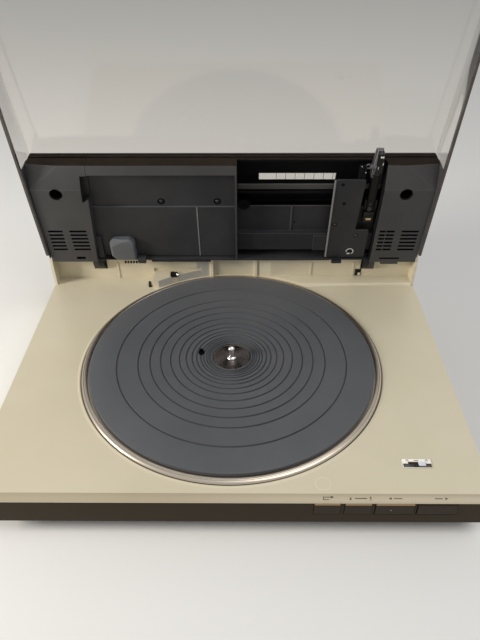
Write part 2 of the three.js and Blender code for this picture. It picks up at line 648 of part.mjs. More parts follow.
// Direct drive motor and platter.
function bearingSolid() {
  const low = cabinet.wellFloor + gap;
  const bore = spindle.radius + spindle.shaftGap;
  return revolve([
    [0, bearing.bottom], [bearing.sleeve, bearing.bottom], [bearing.sleeve, low], [bearing.flange, low],
    [bearing.flange, low + bearing.flangeThickness], [bearing.sleeve, low + bearing.flangeThickness],
    [bearing.sleeve, bearing.top],
    [bore, bearing.top], [bore, spindle.bottom - gap], [0, spindle.bottom - gap],
  ], [0, platterY], rounds.small);
}

function statorSolid() {
  const low = cabinet.wellFloor + gap;
  const top = low + stator.thickness;
  const sheet = revolve([[stator.inner, low], [stator.outer, low], [stator.outer, top], [stator.inner, top]],
    [0, platterY]);
  const coils = [];
  for (let i = 0; i < stator.coilCount; i += 1) {
    const angle = (i / stator.coilCount) * 2 * Math.PI;
    const place = [stator.coilRing * Math.cos(angle), platterY + stator.coilRing * Math.sin(angle)];
    coils.push(revolve([
      [stator.coilInner, top - stator.thickness / 2], [stator.coilOuter, top - stator.thickness / 2],
      [stator.coilOuter, top + stator.coilHeight], [stator.coilInner, top + stator.coilHeight],
    ], place, rounds.tiny));
  }
  return joined([sheet, ...coils]);
}

function platterSolid() {
  const top = deck;
  const under = top - platter.plateThickness;
  const rimTop = lift(platter.rimLift);
  const bore = spindle.radius + spindle.shaftGap;
  const innerWall = platter.radius - platter.rimWall;
  const disc = revolve([
    [bore, platter.hubBottom], [platter.hubRadius, platter.hubBottom], [platter.hubRadius, under],
    [innerWall, under],
    [innerWall, platter.rimBottom], [platter.radius - platter.rimChamfer / 2, platter.rimBottom],
    [platter.radius, platter.rimBottom + platter.rimChamfer / 2],
    [platter.radius, rimTop - platter.rimChamfer],
    [platter.radius - platter.rimChamfer, rimTop], [rimInner, rimTop], [rimInner, top], [bore, top],
  ], [0, platterY], rounds.large);
  const ribs = [];
  const ribSpan = [rotor.outer + platter.ribGap, innerWall + platter.rimWall / 2];
  for (let i = 0; i < platter.ribCount; i += 1) {
    const rib = new THREE.BoxGeometry(ribSpan[1] - ribSpan[0], platter.ribThickness, platter.ribHeight);
    rib.translate((ribSpan[0] + ribSpan[1]) / 2, 0, under - platter.ribHeight / 2 + gap);
    rib.rotateZ((i / platter.ribCount) * 2 * Math.PI).translate(0, platterY, 0);
    ribs.push(solidFrom(rib));
  }
  return joined([disc, ...ribs]);
}

function matSolid() {
  const [low, top] = [deck + gap, lift(mat.topLift)];
  const profile = [[hub.radius + mat.edgeGap, low], [matRadius, low], [matRadius, top - mat.lipDrop],
    [matRadius - mat.lipWidth, top]];
  for (const share of matGrooveShares) {
    const middle = share * matRadius;
    profile.push([middle + mat.grooveWidth / 2, top], [middle, top - mat.grooveDepth],
      [middle - mat.grooveWidth / 2, top]);
  }
  profile.push([hub.radius + mat.edgeGap, top]);
  const disc = revolve(profile, [0, platterY], rounds.broad);
  return disc.subtract(post(mat.fingerHole, [mat.fingerX, platterY + mat.fingerY],
    [low - overrun, top + overrun], rounds.tiny));
}

function hubSolid() {
  const low = deck + gap;
  const bore = spindle.radius + spindle.shaftGap;
  const ring = spindle.collarRadius;
  return revolve([
    [bore, low], [hub.radius, low], [hub.radius, low + hub.thickness / 2],
    [hub.radius - hub.thickness / 2, low + hub.thickness],
    [ring + hub.thickness, low + hub.thickness / 2], [ring, low + hub.thickness], [bore, low + hub.thickness],
  ], [0, platterY]);
}

function spindleSolid() {
  const top = lift(spindle.topLift);
  const r = spindle.radius;
  return revolve([
    [0, spindle.bottom], [r, spindle.bottom], [r, top - r],
    [r * Math.cos(Math.PI / 6), top - r + r * Math.sin(Math.PI / 6)],
    [r * Math.cos(Math.PI / 3), top - r + r * Math.sin(Math.PI / 3)], [0, top],
  ], [0, platterY], rounds.small);
}

function rotorSolid() {
  const top = deck - platter.plateThickness - gap;
  const low = top - rotor.thickness;
  return revolve([[rotor.inner, low], [rotor.outer, low], [rotor.outer, top], [rotor.inner, top]],
    [0, platterY]);
}

// Power supply and main board inside the cabinet.
function transformerSolid() {
  const low = panTop + gap;
  const core = block(around(transformerX, transformer.length), around(transformerY, transformer.width),
    [low, low + transformer.height]);
  const coilLow = low + (transformer.height - transformer.coilHeight) / 2;
  const coil = block(around(transformerX, transformer.coilLength),
    around(transformerY, transformer.coilWidth),
    [coilLow, coilLow + transformer.coilHeight]);
  return core.add(coil);
}

function boardSolid() {
  const low = panTop + gap + board.standoff;
  const top = low + board.thickness;
  const length = board.right - boardLeft;
  const sheet = block([boardLeft, board.right], [boardFront, boardFront + board.width], [low, top]);
  const inset = 2 * board.standoffRadius;
  const feet = [];
  for (const x of [boardLeft + inset, board.right - inset]) {
    for (const y of [boardFront + inset, boardFront + board.width - inset]) {
      feet.push(post(board.standoffRadius, [x, y], [panTop + gap, low + board.thickness / 2], rounds.tiny));
    }
  }
  const partShares = [[0.2, 0.3, 0.16, 0.12, 0.5], [0.45, 0.55, 0.2, 0.14, 0.4],
    [0.72, 0.3, 0.14, 0.2, 0.45]];
  const parts = partShares.map(([u, v, long, wide, tall]) =>
    block(around(boardLeft + u * length, long * length),
    around(boardFront + v * board.width, wide * board.width), [low, top + tall * board.partHeight]));
  const capShares = [[0.25, 0.75], [0.33, 0.75], [0.62, 0.78], [0.88, 0.6]];
  const caps = capShares.map(([u, v]) =>
    post(board.capRadius, [boardLeft + u * length, boardFront + v * board.width],
    [low, top + board.partHeight], rounds.tiny));
  return joined([sheet, ...feet, ...parts, ...caps]);
}

function hingePinSolid(sign) {
  return crossRod(hinge.pinRadius, [hingeY, hingeZ], pinSpan(sign));
}

// Lid. Its pieces are placed as they lie when it is closed, and its group then turns them up about the hinge.
function coverSolid() {
  const rim = lift(cover.rimLift);
  const end = back - cover.backInset;
  const top = (y) => panelUnder(y) + cover.panel;
  const outer = beam([
    [front, rim], [lidEnd, rim], [lidEnd, panelUnder(lidEnd)], [end, panelUnder(end)], [end, top(end)],
    [front + cover.edgeRadius, top(front)], [front + cover.edgeRadius / 3, top(front) - cover.edgeRadius / 3],
    [front, top(front) - cover.edgeRadius],
  ], [-side, side]);
  const innerFront = front + cover.wall;
  const inner = beam([
    [innerFront, rim - overrun], [end + overrun, rim - overrun], [end + overrun, panelUnder(end + overrun)],
    [innerFront, panelUnder(innerFront)],
  ], [-lidSide, lidSide]);
  return outer.subtract(inner);
}

// The inner edge of the left pod leans a little, from its front to its back.
function leftPodEdge(y) {
  const share = (y - reach(housing.faceReach)) / (housing.faceReach - housing.backReach);
  return -inward(housing.leftPodInset) - share * housing.leftPodTurn;
}

// The front slope is one plane over the whole housing, and ends where it meets the face.
function housingProfile(inset, face = lift(housing.podLift)) {
  const chamfer = housing.backChamfer;
  const fall = (lift(housing.frontLift) - face) / (housing.frontLift - housing.podLift);
  const slopeEnd = housingFront + fall * (housing.frontReach - housing.faceReach);
  return [
    [housingFront + inset, lift(housing.frontLift) + inset], [slopeEnd, face + inset],
    [housingBack - chamfer, face + inset], [housingBack - inset, face + housing.backRise + inset],
    [housingBack - inset, housingTop(housingBack)], [housingFront + inset, housingTop(housingFront)],
  ];
}

// The slanting facet on the outer front corner of a pod, as a cutter that a wall can be kept from.
function podFacet(sign, inward) {
  const x = sign * housingSide;
  const corners = [
    [x, reach(housing.faceReach), lift(housing.podLift)],
    [x - sign * facet.inset, housingFront + facet.frontLift - facet.ridgeLift, lift(facet.ridgeLift)],
    [x, housingFront, lift(facet.frontLift)],
  ].map((corner) => new THREE.Vector3(...corner));
  const [a, b, c] = corners;
  const normal = new THREE.Vector3().crossVectors(b.clone().sub(a), c.clone().sub(a)).normalize();
  if (normal.z > 0) normal.negate();
  const middle = a.clone().add(b).add(c).divideScalar(3);
  const spread = corners.map((corner) => corner.clone().sub(middle).multiplyScalar(overrun).add(middle));
  const far = spread.map((corner) => corner.clone().addScaledVector(normal, facet.inset));
  const cutter = solidFrom(new ConvexGeometry([...spread, ...far]));
  return cutter.translate([-normal.x * inward, -normal.y * inward, -normal.z * inward]);
}

function podOutline(sign, inset) {
  const y = [housingFront + inset, housingBack - inset];
  const outer = sign * (housingSide - inset);
  const inner = y.map((place) => (sign > 0 ? podX + inset : leftPodEdge(place) - inset));
  return [[outer, y[0]], [inner[0], y[0]], [inner[1], y[1]], [outer, y[1]]];
}

function podSolid(sign) {
  const insets = sign > 0 ? podInsets.right : podInsets.left;
  const spanOf = ([inner, outer]) => (sign > 0 ? [inward(inner), inward(outer)]
    : [-inward(outer), -inward(inner)]);
  const holePlace = [sign * inward(insets.hole), reach(pods.holeReach)];
  const tall = [deck, panelUnder(back)];
  const wide = [-side, side];
  const outer = beam(housingProfile(0), wide).intersect(column(podOutline(sign, 0), tall)).subtract(
    podFacet(sign, 0));
  const inner = joined([beam(housingProfile(housing.wall), wide),
    beam(housingProfile(housing.wall), wide).translate([0, 0, overrun])])
    .intersect(column(podOutline(sign, housing.wall), [deck, panelUnder(back) + overrun]))
    .subtract(podFacet(sign, housing.wall));
  const face = [lift(housing.podLift) - overrun, lift(housing.podLift) + housing.wall + overrun / 2];
  const vents = [];
  for (let row = 0; row < pods.ventRows; row += 1) {
    const y = reach(pods.ventBackReach + row * pods.ventPitch + pods.ventHeight / 2);
    insets.vents.forEach((pair) => vents.push(block(spanOf(pair), around(y, pods.ventHeight), face)));
  }
  const slot = block(spanOf(insets.slot), around(reach(pods.bottomSlotReach), pods.bottomSlotHeight), face);
  const ring = post(pods.holeRadius + housing.wall, holePlace,
    [lift(housing.podLift) + housing.wall / 2, lift(housing.podLift) + pods.holeDepth + housing.wall],
    rounds.small);
  const hole = post(pods.holeRadius, holePlace,
    [lift(housing.podLift) - overrun, lift(housing.podLift) + pods.holeDepth], rounds.small);
  const knuckle = hingeCut(sign);
  return cutBy(outer.subtract(inner).add(ring), [...vents, slot, hole, knuckle]);
}

// Room for the hinge arm where it leaves the back of the housing.
function hingeCut(sign) {
  const knuckle = crossRod(hinge.knuckleRadius + gap, [hingeY, hingeZ],
    insetSpan(sign, hinge.armInset, hinge.armWidth, gap), rounds.medium);
  const bar = block(insetSpan(sign, hinge.armInset, hinge.barWidth, gap),
    [reach(hinge.barReach) - gap, hingeY],
    around(hingeZ, hinge.barHeight + 2 * gap));
  return knuckle.add(bar);
}

function hingeArmSolid(sign) {
  const { armInset, armWidth, barWidth } = hinge;
  const knuckle = crossRod(hinge.knuckleRadius, [hingeY, hingeZ], insetSpan(sign, armInset, armWidth),
    rounds.medium);
  const bar = block(insetSpan(sign, armInset, barWidth), [reach(hinge.barReach), hingeY],
    around(hingeZ, hinge.barHeight));
  const bore = crossRod(hinge.pinRadius + gap, [hingeY, hingeZ],
    insetSpan(sign, armInset, armWidth, overrun));
  return knuckle.add(bar).subtract(bore);
}

// The frame between the pods: front lip, floor behind the left cover plate, and the open arm compartment.
function housingFrameSolid() {
  const tall = [deck, panelUnder(back)];
  const right = podX - gap;
  const outline = [
    [leftPodEdge(housingFront) + gap, housingFront], [right, housingFront], [right, housingBack],
    [leftPodEdge(housingBack) + gap, housingBack],
  ];
  const face = lift(mat.topLift + housing.recordRoom);
  const outer = beam(housingProfile(0, face), [-side, side]).intersect(column(outline, tall));
  const innerY = [housingFront + housing.wall, housingBack - housing.wall];
  const recess = block([-side, compartment.left - housing.wall], [reach(housing.recessReach), innerY[1]],
    [deck - overrun, lift(housing.recessLift)]);
  const attic = block([leftPodEdge(housingBack) + gap + housing.wall + housing.leftPodTurn,
    compartment.left - housing.wall], innerY,
    [lift(housing.recessLift) + housing.floor, panelUnder(back)]);
  const bay = block([compartment.left, side], innerY, [deck - overrun, panelUnder(back)]);
  const armDoor = block([compartment.left, side], [housingFront - overrun, innerY[1]],
    [deck - overrun, lift(housing.armFrontLift)]);
  const padNotch = block([pad.left - gap, pad.right + gap], [innerY[1] - overrun, housingBack + overrun],
    [deck - overrun, lift(housing.padNotchLift)]);
  const ledge = block([pad.left - gap, pad.right + gap],
    [innerY[1] + housing.wall / 2, housingBack + housing.ledge],
    liftPair(housing.padNotchLift, housing.padNotchLift + housing.ledgeHeight));
  return cutBy(outer, [recess, attic, bay, armDoor, padNotch]).add(ledge).subtract(hingeCut(1)).subtract(
    hingeCut(-1));
}

function ledgeRelief() {
  return block([pad.left - 2 * gap, pad.right + 2 * gap],
    [ridgeFront - overrun, housingBack + housing.ledge + gap],
    [lift(pad.lift), lift(housing.padNotchLift + housing.ledgeHeight) + gap]);
}

function topPlateSolid() {
  const y = [housingFront + gap, housingBack - gap];
  const under = (place) => panelUnder(place) - gap - housing.topPlate;
  const plate = beam([
    [y[0], under(y[0])], [y[1], under(y[1])], [y[1], panelUnder(y[1]) - gap], [y[0], panelUnder(y[0]) - gap],
  ], [-housingSide + gap, housingSide - gap]);
  return plate.subtract(block(insetSpan(1, scaleWindow.inset, scaleWindow.length),
    [reach(scaleWindow.frontReach), reach(scaleWindow.frontReach - scaleWindow.width)],
    [deck, panelUnder(back)]));
}

function scaleWindowSolid() {
  const y = [reach(scaleWindow.frontReach) + gap, reach(scaleWindow.frontReach - scaleWindow.width) - gap];
  const low = (place) => panelUnder(place) - gap - housing.topPlate;
  return beam([
    [y[0], low(y[0])], [y[1], low(y[1])], [y[1], low(y[1]) + scaleWindow.thickness],
    [y[0], low(y[0]) + scaleWindow.thickness],
  ], insetSpan(1, scaleWindow.inset, scaleWindow.length, -gap));
}

function coverPlateSolid() {
  const y = [reach(housing.recessReach) + gap, housingBack - housing.wall - gap];
  const high = lift(housing.recessLift) - gap;
  const right = compartment.left - housing.wall - gap;
  const step = reach(coverPlate.stepReach);
  const slab = beam([
    [y[0], lift(coverPlate.frontLift)], [step, lift(coverPlate.frontLift)], [step, lift(coverPlate.backLift)],
    [y[1], lift(coverPlate.backLift)], [y[1], high], [y[0], high],
  ], [-side, right]);
  const outline = [[leftPodEdge(y[0]) + gap, y[0]], [right, y[0]], [right, y[1]],
    [leftPodEdge(y[1]) + gap, y[1]]];
  const seam = block(around(coverPlate.seamX, coverPlate.seamWidth), [step, y[1] + overrun],
    [lift(coverPlate.backLift) - overrun, lift(coverPlate.backLift) + coverPlate.seamDepth]);
  const screws = coverPlate.screwPlaces.map((x) =>
    post(coverPlate.screwRadius, [x, reach(coverPlate.screwReach)],
    [lift(coverPlate.backLift) - overrun, lift(coverPlate.frontLift) + coverPlate.screwDepth]));
  return cutBy(slab.intersect(column(outline, [deck, high])), [seam, ...screws, hingeCut(-1)]);
}

function sensorCoverSolid() {
  const { inset, width, rounding, bevel } = sensorCover;
  const y = [reach(sensorCover.frontReach) + bevel, housingBack - housing.wall - gap - bevel];
  const [x0, x1] = [bevel - inward(inset), width - inward(inset) - bevel];
  const shape = new THREE.Shape();
  shape.moveTo(x0 + rounding, y[1]);
  shape.lineTo(x1, y[1]);
  shape.lineTo(x1, y[0] + rounding);
  shape.absarc(x1 - rounding, y[0] + rounding, rounding, 0, -Math.PI / 2, true);
  shape.lineTo(x0 + rounding, y[0]);
  shape.absarc(x0 + rounding, y[0] + rounding, rounding, -Math.PI / 2, -Math.PI, true);
  shape.lineTo(x0, y[1] - rounding);
  const top = lift(coverPlate.backLift) - gap;
  const depth = top - lift(sensorCover.lift);
  const geometry = new THREE.ExtrudeGeometry(shape, {
    depth, bevelThickness: bevel, bevelSize: bevel, bevelSegments: 3, curveSegments: 4,
  });
  const slab = solidFrom(geometry.translate(0, 0, lift(sensorCover.lift) + bevel));
  const corner = new THREE.Vector3(x0 - bevel, y[0] - bevel, lift(sensorCover.lift));
  const [along, down, deep] = [[sensorCover.facetAlong, 0, 0], [0, sensorCover.facetDown, 0],
    [0, 0, sensorCover.facetDepth]].map((step) => corner.clone().add(new THREE.Vector3(...step)));
  const facetPlane = new THREE.Plane().setFromCoplanarPoints(along, down, deep);
  if (facetPlane.distanceToPoint(corner) > 0) facetPlane.negate();
  return slab.trimByPlane([0, 0, -1], -top).trimByPlane(facetPlane.normal.toArray(), -facetPlane.constant);
}

function compartmentPanelSolid() {
  const { panelThickness: thick } = compartment;
  const [start, step, end] = [compartment.panelReach, compartment.stepReach, compartment.panelEnd].map(reach);
  const [high, low] = [lift(compartment.panelLift), lift(compartment.lowerLift)];
  const slab = beam([
    [start, high], [step, high], [step, low], [end, low], [end, low + thick], [step + thick, low + thick],
    [step + thick, high + thick], [start, high + thick],
  ], [compartment.left + gap, podX - gap]);
  const fin = block(around(compartment.finX, compartment.finThickness), [start, step + thick / 2],
    [high - compartment.finProud, high + thick / 2]);
  const raised = block(insetSpan(1, compartment.blockInset, compartment.blockWidth),
    [reach(compartment.blockReach), end],
    [low - compartment.blockProud, low + thick / 2]);
  return joined([slab, fin, raised]).subtract(hingeCut(1));
}

function guideRailSolid() {
  const low = lift(compartment.railLift);
  return block([compartment.left + gap, podX - gap],
    around(reach(compartment.railReach), compartment.railWidth),
    [low, low + compartment.railThickness]);
}

function guideRodSolid() {
  return crossRod(compartment.rodRadius, [reach(compartment.rodReach), lift(compartment.rodLift)],
    [compartment.left + gap, podX - gap]);
}

function motorSolid() {
  return post(motor.radius, [driveX, reach(pulleys.reach)], liftPair(motor.bottom, motor.top), rounds.small);
}

function pulleySolid(x, axleLow) {
  const [low, high] = liftPair(pulleys.lift, pulleys.lift + pulleys.height);
  const wheel = post(pulleys.radius, [x, reach(pulleys.reach)], [low, high], rounds.small);
  const flange = post(pulleys.radius + pulleys.flange, [x, reach(pulleys.reach)],
    [low - pulleys.flange / 2, low], rounds.small);
  const top = panelUnder(reach(pulleys.reach)) - 2 * gap - housing.topPlate;
  const axle = post(pulleys.axleRadius, [x, reach(pulleys.reach)], [axleLow, top], rounds.tiny);
  return joined([wheel, flange, axle]);
}

function beltSolid() {
  const inner = pulleys.radius + gap;
  const track = (radius, Kind) => {
    const path = new Kind();
    path.absarc(idlerX, reach(pulleys.reach), radius, -Math.PI / 2, Math.PI / 2, false);
    path.absarc(driveX, reach(pulleys.reach), radius, Math.PI / 2, Math.PI * 3 / 2, false);
    return path;
  };
  const shape = track(inner + belt.thickness, THREE.Shape);
  shape.holes.push(track(inner, THREE.Path));
  return column(shape, liftPair(pulleys.lift + gap, pulleys.lift + gap + belt.height), rounds.tiny);
}

// Carriage, and the arm that it carries.
function carriagePlateSolid() {
  const y = [reach(carriage.topReach), reach(carriage.waistReach), reach(carriage.bottomReach)];
  const r = carriage.cornerRadius;
  const right = armX + carriage.beyondArm;
  const left = right - carriage.plateWidth;
  const topRight = right - carriage.topShort;
  const outline = [
    [left + r, y[0]], [topRight - r, y[0]], [topRight, y[0] + r], [right - carriage.waistShort, y[1]],
    [right - r, y[1]], [right, y[1] + r], [right, y[2]], [left, y[2]], [left, y[0] + r],
  ];
  const z = liftPair(carriage.plateLift, carriage.plateLift + carriage.plateThickness);
  const holes = Object.values(plateHoles).map((hole) => post(carriage.holeRadius,
    [left + hole.fromLeft, reach(hole.reach)], [z[0] - overrun, z[1] + overrun], rounds.tiny));
  return cutBy(column(outline, z), holes);
}

function sliderSolid() {
  const low = lift(carriage.plateLift + carriage.plateThickness) + gap;
  const y = [reach(slider.frontReach), reach(slider.backReach)];
  const right = armX - slider.fromArm;
  const span = [right - slider.width, right];
  const body = block(span, y, [low, lift(slider.top)]);
  const bracket = block([right - slider.bracketThickness, armX + slider.bracketBeyond],
    [reach(slider.bracketReach), y[1]],
    liftPair(slider.bracketLift, slider.bracketLift + slider.bracketThickness));
  const runInner = reach(pulleys.reach) - pulleys.radius - gap;
  const clampRight = armX - slider.clampFromArm;
  const clamp = block([clampRight - slider.clampWidth, clampRight],
    [runInner + gap, runInner + gap + slider.clampThickness],
    [lift(slider.top) - gap, lift(pulleys.lift + belt.height)]);
  const rod = crossRod(compartment.rodRadius + gap, [reach(compartment.rodReach), lift(compartment.rodLift)],
    [span[0] - overrun, span[1] + overrun]);
  const pivot = post(gimbal.stubRadius + gap, [armX, reach(arm.pivotReach)],
    liftPair(slider.bracketLift - overrun, slider.bracketLift + slider.bracketThickness + overrun));
  return cutBy(joined([body, bracket, clamp]), [rod, pivot]);
}

function gimbalSolid() {
  const y = [reach(gimbal.frontReach), reach(gimbal.backReach)];
  const [left, right] = around(armX, gimbal.width);
  const top = lift(gimbal.topLift);
  const plate = block([left, right], y, [top - gimbal.plate, top]);
  const ears = [[left, left + gimbal.ear], [right - gimbal.ear, right]].map((span) => block(
    span, y, [lift(gimbal.earBottom), top - gimbal.plate / 2]));
  const stub = post(gimbal.stubRadius, [armX, reach(arm.pivotReach)],
    [top - gimbal.plate / 2, lift(slider.bracketLift + slider.bracketThickness)]);
  const pin = crossRod(arm.pinRadius + gap, [reach(arm.pivotReach), lift(arm.pivotLift)],
    [left - overrun, right + overrun], rounds.tiny);
  return joined([plate, ...ears, stub]).subtract(pin);
}

function tonearmSolid() {
  const z = liftPair(arm.lift, arm.lift + arm.height);
  const beamEnd = reach(arm.frontReach);
  const [hubFront, hubBack] = [reach(arm.hubFront), reach(arm.hubBack)];
  const outline = [
    [armX - arm.beamWidth / 2, beamEnd], [armX + arm.beamWidth / 2, beamEnd],
    [armX + arm.beamWidth / 2, hubFront - arm.beamWidth],
    [armX + arm.hubWidth / 2, hubFront], [armX + arm.hubWidth / 2, hubBack],
    [armX - arm.hubWidth / 2, hubBack],
    [armX - arm.hubWidth / 2, hubFront], [armX - arm.beamWidth / 2, hubFront - arm.beamWidth],
  ];
  const bar = column(outline, z);
  const stub = block(around(armX, arm.stubWidth), [hubBack - gap, reach(arm.stubBack)],
    around((z[0] + z[1]) / 2, arm.stubHeight));
  const pin = crossRod(arm.pinRadius, [reach(arm.pivotReach), lift(arm.pivotLift)],
    around(armX, gimbal.width - 2 * gap), rounds.tiny);
  return joined([bar, stub, pin]);
}

function counterweightSolid() {
  const y = [reach(counterweight.frontReach), reach(counterweight.backReach)];
  const [low, high] = liftPair(counterweight.bottom, counterweight.top);
  const [left, right] = around(armX, counterweight.width);
  const e = counterweight.edge;
  const body = beam([[y[0], low + e], [y[0] + e, low], [y[1] - e, low], [y[1], low + e], [y[1], high],
    [y[0], high]], [left, right]);
  const middle = lift(arm.lift + arm.height / 2);
  return body.subtract(block(around(armX, arm.stubWidth + 2 * gap), [y[0] - overrun, y[1] + overrun],
    around(middle, arm.stubHeight + 2 * gap)));
}

function headshellSolid() {
  const [backY, shoulder, tip] = [headshell.backReach, headshell.shoulderReach,
    headshell.tipReach].map(reach);
  const [wide, narrow] = [headshell.width / 2, headshell.tipWidth / 2];
  const outline = [
    [armX - wide, backY], [armX - wide, shoulder], [armX - narrow, tip], [armX + narrow, tip],
    [armX + wide, shoulder],
    [armX + wide, backY],
  ];
  return column(outline, liftPair(headshell.lift, headshell.lift + headshell.thickness));
}

function cartridgeSolid() {
  const [backY, frontY] = [reach(cartridge.backReach) - gap, reach(cartridge.frontReach)];
  const [low, high] = [lift(cartridge.bottom), lift(headshell.lift) - gap];
  return beam([
    [backY, low], [backY, high], [frontY, high], [frontY, low + cartridge.noseDrop],
    [frontY + cartridge.noseLength / 2, low],
  ], around(armX, cartridge.width));
}

function stylusSolid() {
  const y = [reach(stylus.frontReach), reach(stylus.backReach)];
  const high = lift(cartridge.bottom) - gap;
  const low = high - stylus.thickness;
  const body = block(around(armX, stylus.width), y, [low, high]);
  const tip = reach(stylus.tipReach);
  const point = solidFrom(new ConvexGeometry([
    new THREE.Vector3(armX - stylus.tipSize, tip - stylus.tipSize, low + gap),
    new THREE.Vector3(armX + stylus.tipSize, tip - stylus.tipSize, low + gap),
    new THREE.Vector3(armX, tip + stylus.tipSize, low + gap),
    new THREE.Vector3(armX, tip, low - stylus.tipDrop),
  ]));
  return body.add(point);
}

function fixingScrewSolid() {
  const right = armX - cartridge.width / 2 - gap;
  const place = [reach(fixingScrew.reach), lift(fixingScrew.lift)];
  return crossRod(fixingScrew.radius, place, [right - fixingScrew.length, right], rounds.small);
}

// Everything is gathered here, the lid in a group of its own that turns about the hinge.
const turntable = new THREE.Group();

addPiece(turntable, 'cabinet', cabinetSolid().subtract(ledgeRelief()), 'champagne');
addPiece(turntable, 'front_fascia', fasciaSolid(), 'bronze');
addPiece(turntable, 'bottom_pan', panSolid(), 'blackPlastic');
const footY = { front: front + foot.frontInset, rear: back - foot.backInset };
for (const [end, y] of Object.entries(footY)) {
  addPiece(turntable, `foot_${end}_left`, footSolid([-inward(foot.inset), y]), 'soleRubber');
  addPiece(turntable, `foot_${end}_right`, footSolid([inward(foot.inset), y]), 'soleRubber');
}
for (const [name, place] of Object.entries(buttonPlaces)) addPiece(turntable, name, buttonSolid(place),
  'buttonBronze');
addPiece(turntable, 'button_board', buttonBoardSolid(), 'circuitBoard');
addPiece(turntable, 'selector_plate', selectorPlateSolid(), 'blackPlastic');
addPiece(turntable, 'selector_knob', selectorKnobSolid(), 'whitePlastic');
addPiece(turntable, 'selector_switch', selectorSwitchSolid(), 'greyPlastic');
addPiece(turntable, 'lid_switch_pin', switchPinSolid(), 'blackPlastic');
addPiece(turntable, 'size_sensor', sizeSensorSolid(), 'blackPlastic');
addPiece(turntable, 'wall_clip', wallClipSolid(), 'blackPlastic');
for (const [name, place] of Object.entries(glandInsets)) addPiece(turntable, name, glandSolid(place),
  'soleRubber');
addPiece(turntable, 'bearing_housing', bearingSolid(), 'steel');
addPiece(turntable, 'stator_board', statorSolid(), 'copper');
addPiece(turntable, 'power_transformer', transformerSolid(), 'magnet');
addPiece(turntable, 'main_board', boardSolid(), 'circuitBoard');
addPiece(turntable, 'hinge_pin_left', hingePinSolid(-1), 'steel');
addPiece(turntable, 'hinge_pin_right', hingePinSolid(1), 'steel');

addPiece(turntable, 'platter', platterSolid(), 'castAluminium');
addPiece(turntable, 'platter_mat', matSolid(), 'rubber');
addPiece(turntable, 'hub_disc', hubSolid(), 'polishedMetal');
addPiece(turntable, 'spindle', spindleSolid(), 'steel');
addPiece(turntable, 'rotor_magnet', rotorSolid(), 'magnet');

const lidPivot = new THREE.Group();
lidPivot.position.set(0, hingeY, hingeZ);
lidPivot.rotation.x = -THREE.MathUtils.degToRad(hinge.openAngle);
const lid = new THREE.Group();
lid.position.set(0, -hingeY, -hingeZ);
lidPivot.add(lid);
turntable.add(lidPivot);

addPiece(lid, 'lid_cover', coverSolid(), 'clearAcrylic');
addPiece(lid, 'housing_frame', housingFrameSolid(), 'blackPlastic');
addPiece(lid, 'left_pod', podSolid(-1), 'darkGrey');
addPiece(lid, 'right_pod', podSolid(1), 'darkGrey');
addPiece(lid, 'housing_top_plate', topPlateSolid(), 'blackPlastic');
addPiece(lid, 'scale_window', scaleWindowSolid(), 'clearAcrylic');
addPiece(lid, 'left_cover_plate', coverPlateSolid(), 'blackPlastic');
addPiece(lid, 'sensor_cover', sensorCoverSolid(), 'greyPlastic');
addPiece(lid, 'compartment_panel', compartmentPanelSolid(), 'blackPlastic');
addPiece(lid, 'guide_rail', guideRailSolid(), 'greyPlastic');
addPiece(lid, 'guide_rod', guideRodSolid(), 'steel');
addPiece(lid, 'tracking_motor', motorSolid(), 'steel');
addPiece(lid, 'drive_belt', beltSolid(), 'soleRubber');
addPiece(lid, 'drive_pulley', pulleySolid(driveX, lift(motor.top) + gap), 'greyPlastic');
addPiece(lid, 'idler_pulley', pulleySolid(idlerX, lift(pulleys.lift) - pulleys.flange), 'greyPlastic');
addPiece(lid, 'hinge_arm_left', hingeArmSolid(-1), 'blackPlastic');
addPiece(lid, 'hinge_arm_right', hingeArmSolid(1), 'blackPlastic');

addPiece(lid, 'carriage_plate', carriagePlateSolid(), 'blackPlastic');
addPiece(lid, 'carriage_slider', sliderSolid(), 'blackPlastic');
addPiece(lid, 'arm_gimbal', gimbalSolid(), 'steel');
addPiece(lid, 'tonearm', tonearmSolid(), 'blackPlastic');
addPiece(lid, 'counterweight', counterweightSolid(), 'magnet');
addPiece(lid, 'headshell', headshellSolid(), 'darkGrey');
addPiece(lid, 'cartridge', cartridgeSolid(), 'blackPlastic');
addPiece(lid, 'stylus', stylusSolid(), 'greyPlastic');
addPiece(lid, 'fixing_screw', fixingScrewSolid(), 'steel');

export default turntable;
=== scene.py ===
import json
import math
from types import SimpleNamespace

import bmesh
import bpy
from mathutils import Matrix, Vector


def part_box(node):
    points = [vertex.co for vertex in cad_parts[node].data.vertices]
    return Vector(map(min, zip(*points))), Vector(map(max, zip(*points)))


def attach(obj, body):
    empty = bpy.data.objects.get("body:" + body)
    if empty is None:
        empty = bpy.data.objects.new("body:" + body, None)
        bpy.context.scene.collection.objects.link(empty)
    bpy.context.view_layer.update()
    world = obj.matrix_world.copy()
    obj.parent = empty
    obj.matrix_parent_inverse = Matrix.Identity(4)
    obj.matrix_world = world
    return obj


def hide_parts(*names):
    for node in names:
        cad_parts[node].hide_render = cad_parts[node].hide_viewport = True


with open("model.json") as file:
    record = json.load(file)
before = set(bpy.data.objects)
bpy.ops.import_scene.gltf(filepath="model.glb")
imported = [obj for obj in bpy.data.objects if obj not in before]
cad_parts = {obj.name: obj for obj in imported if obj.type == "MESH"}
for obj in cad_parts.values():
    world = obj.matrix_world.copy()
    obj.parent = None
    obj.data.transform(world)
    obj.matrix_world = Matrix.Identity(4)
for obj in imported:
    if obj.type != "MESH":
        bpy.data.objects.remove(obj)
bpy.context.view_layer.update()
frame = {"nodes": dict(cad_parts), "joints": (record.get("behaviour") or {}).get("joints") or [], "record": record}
scene = bpy.context.scene
nodes = frame["nodes"]
bodyOf = {node: body for body, members in frame["record"]["behaviour"]["bodies"].items() for node in members}
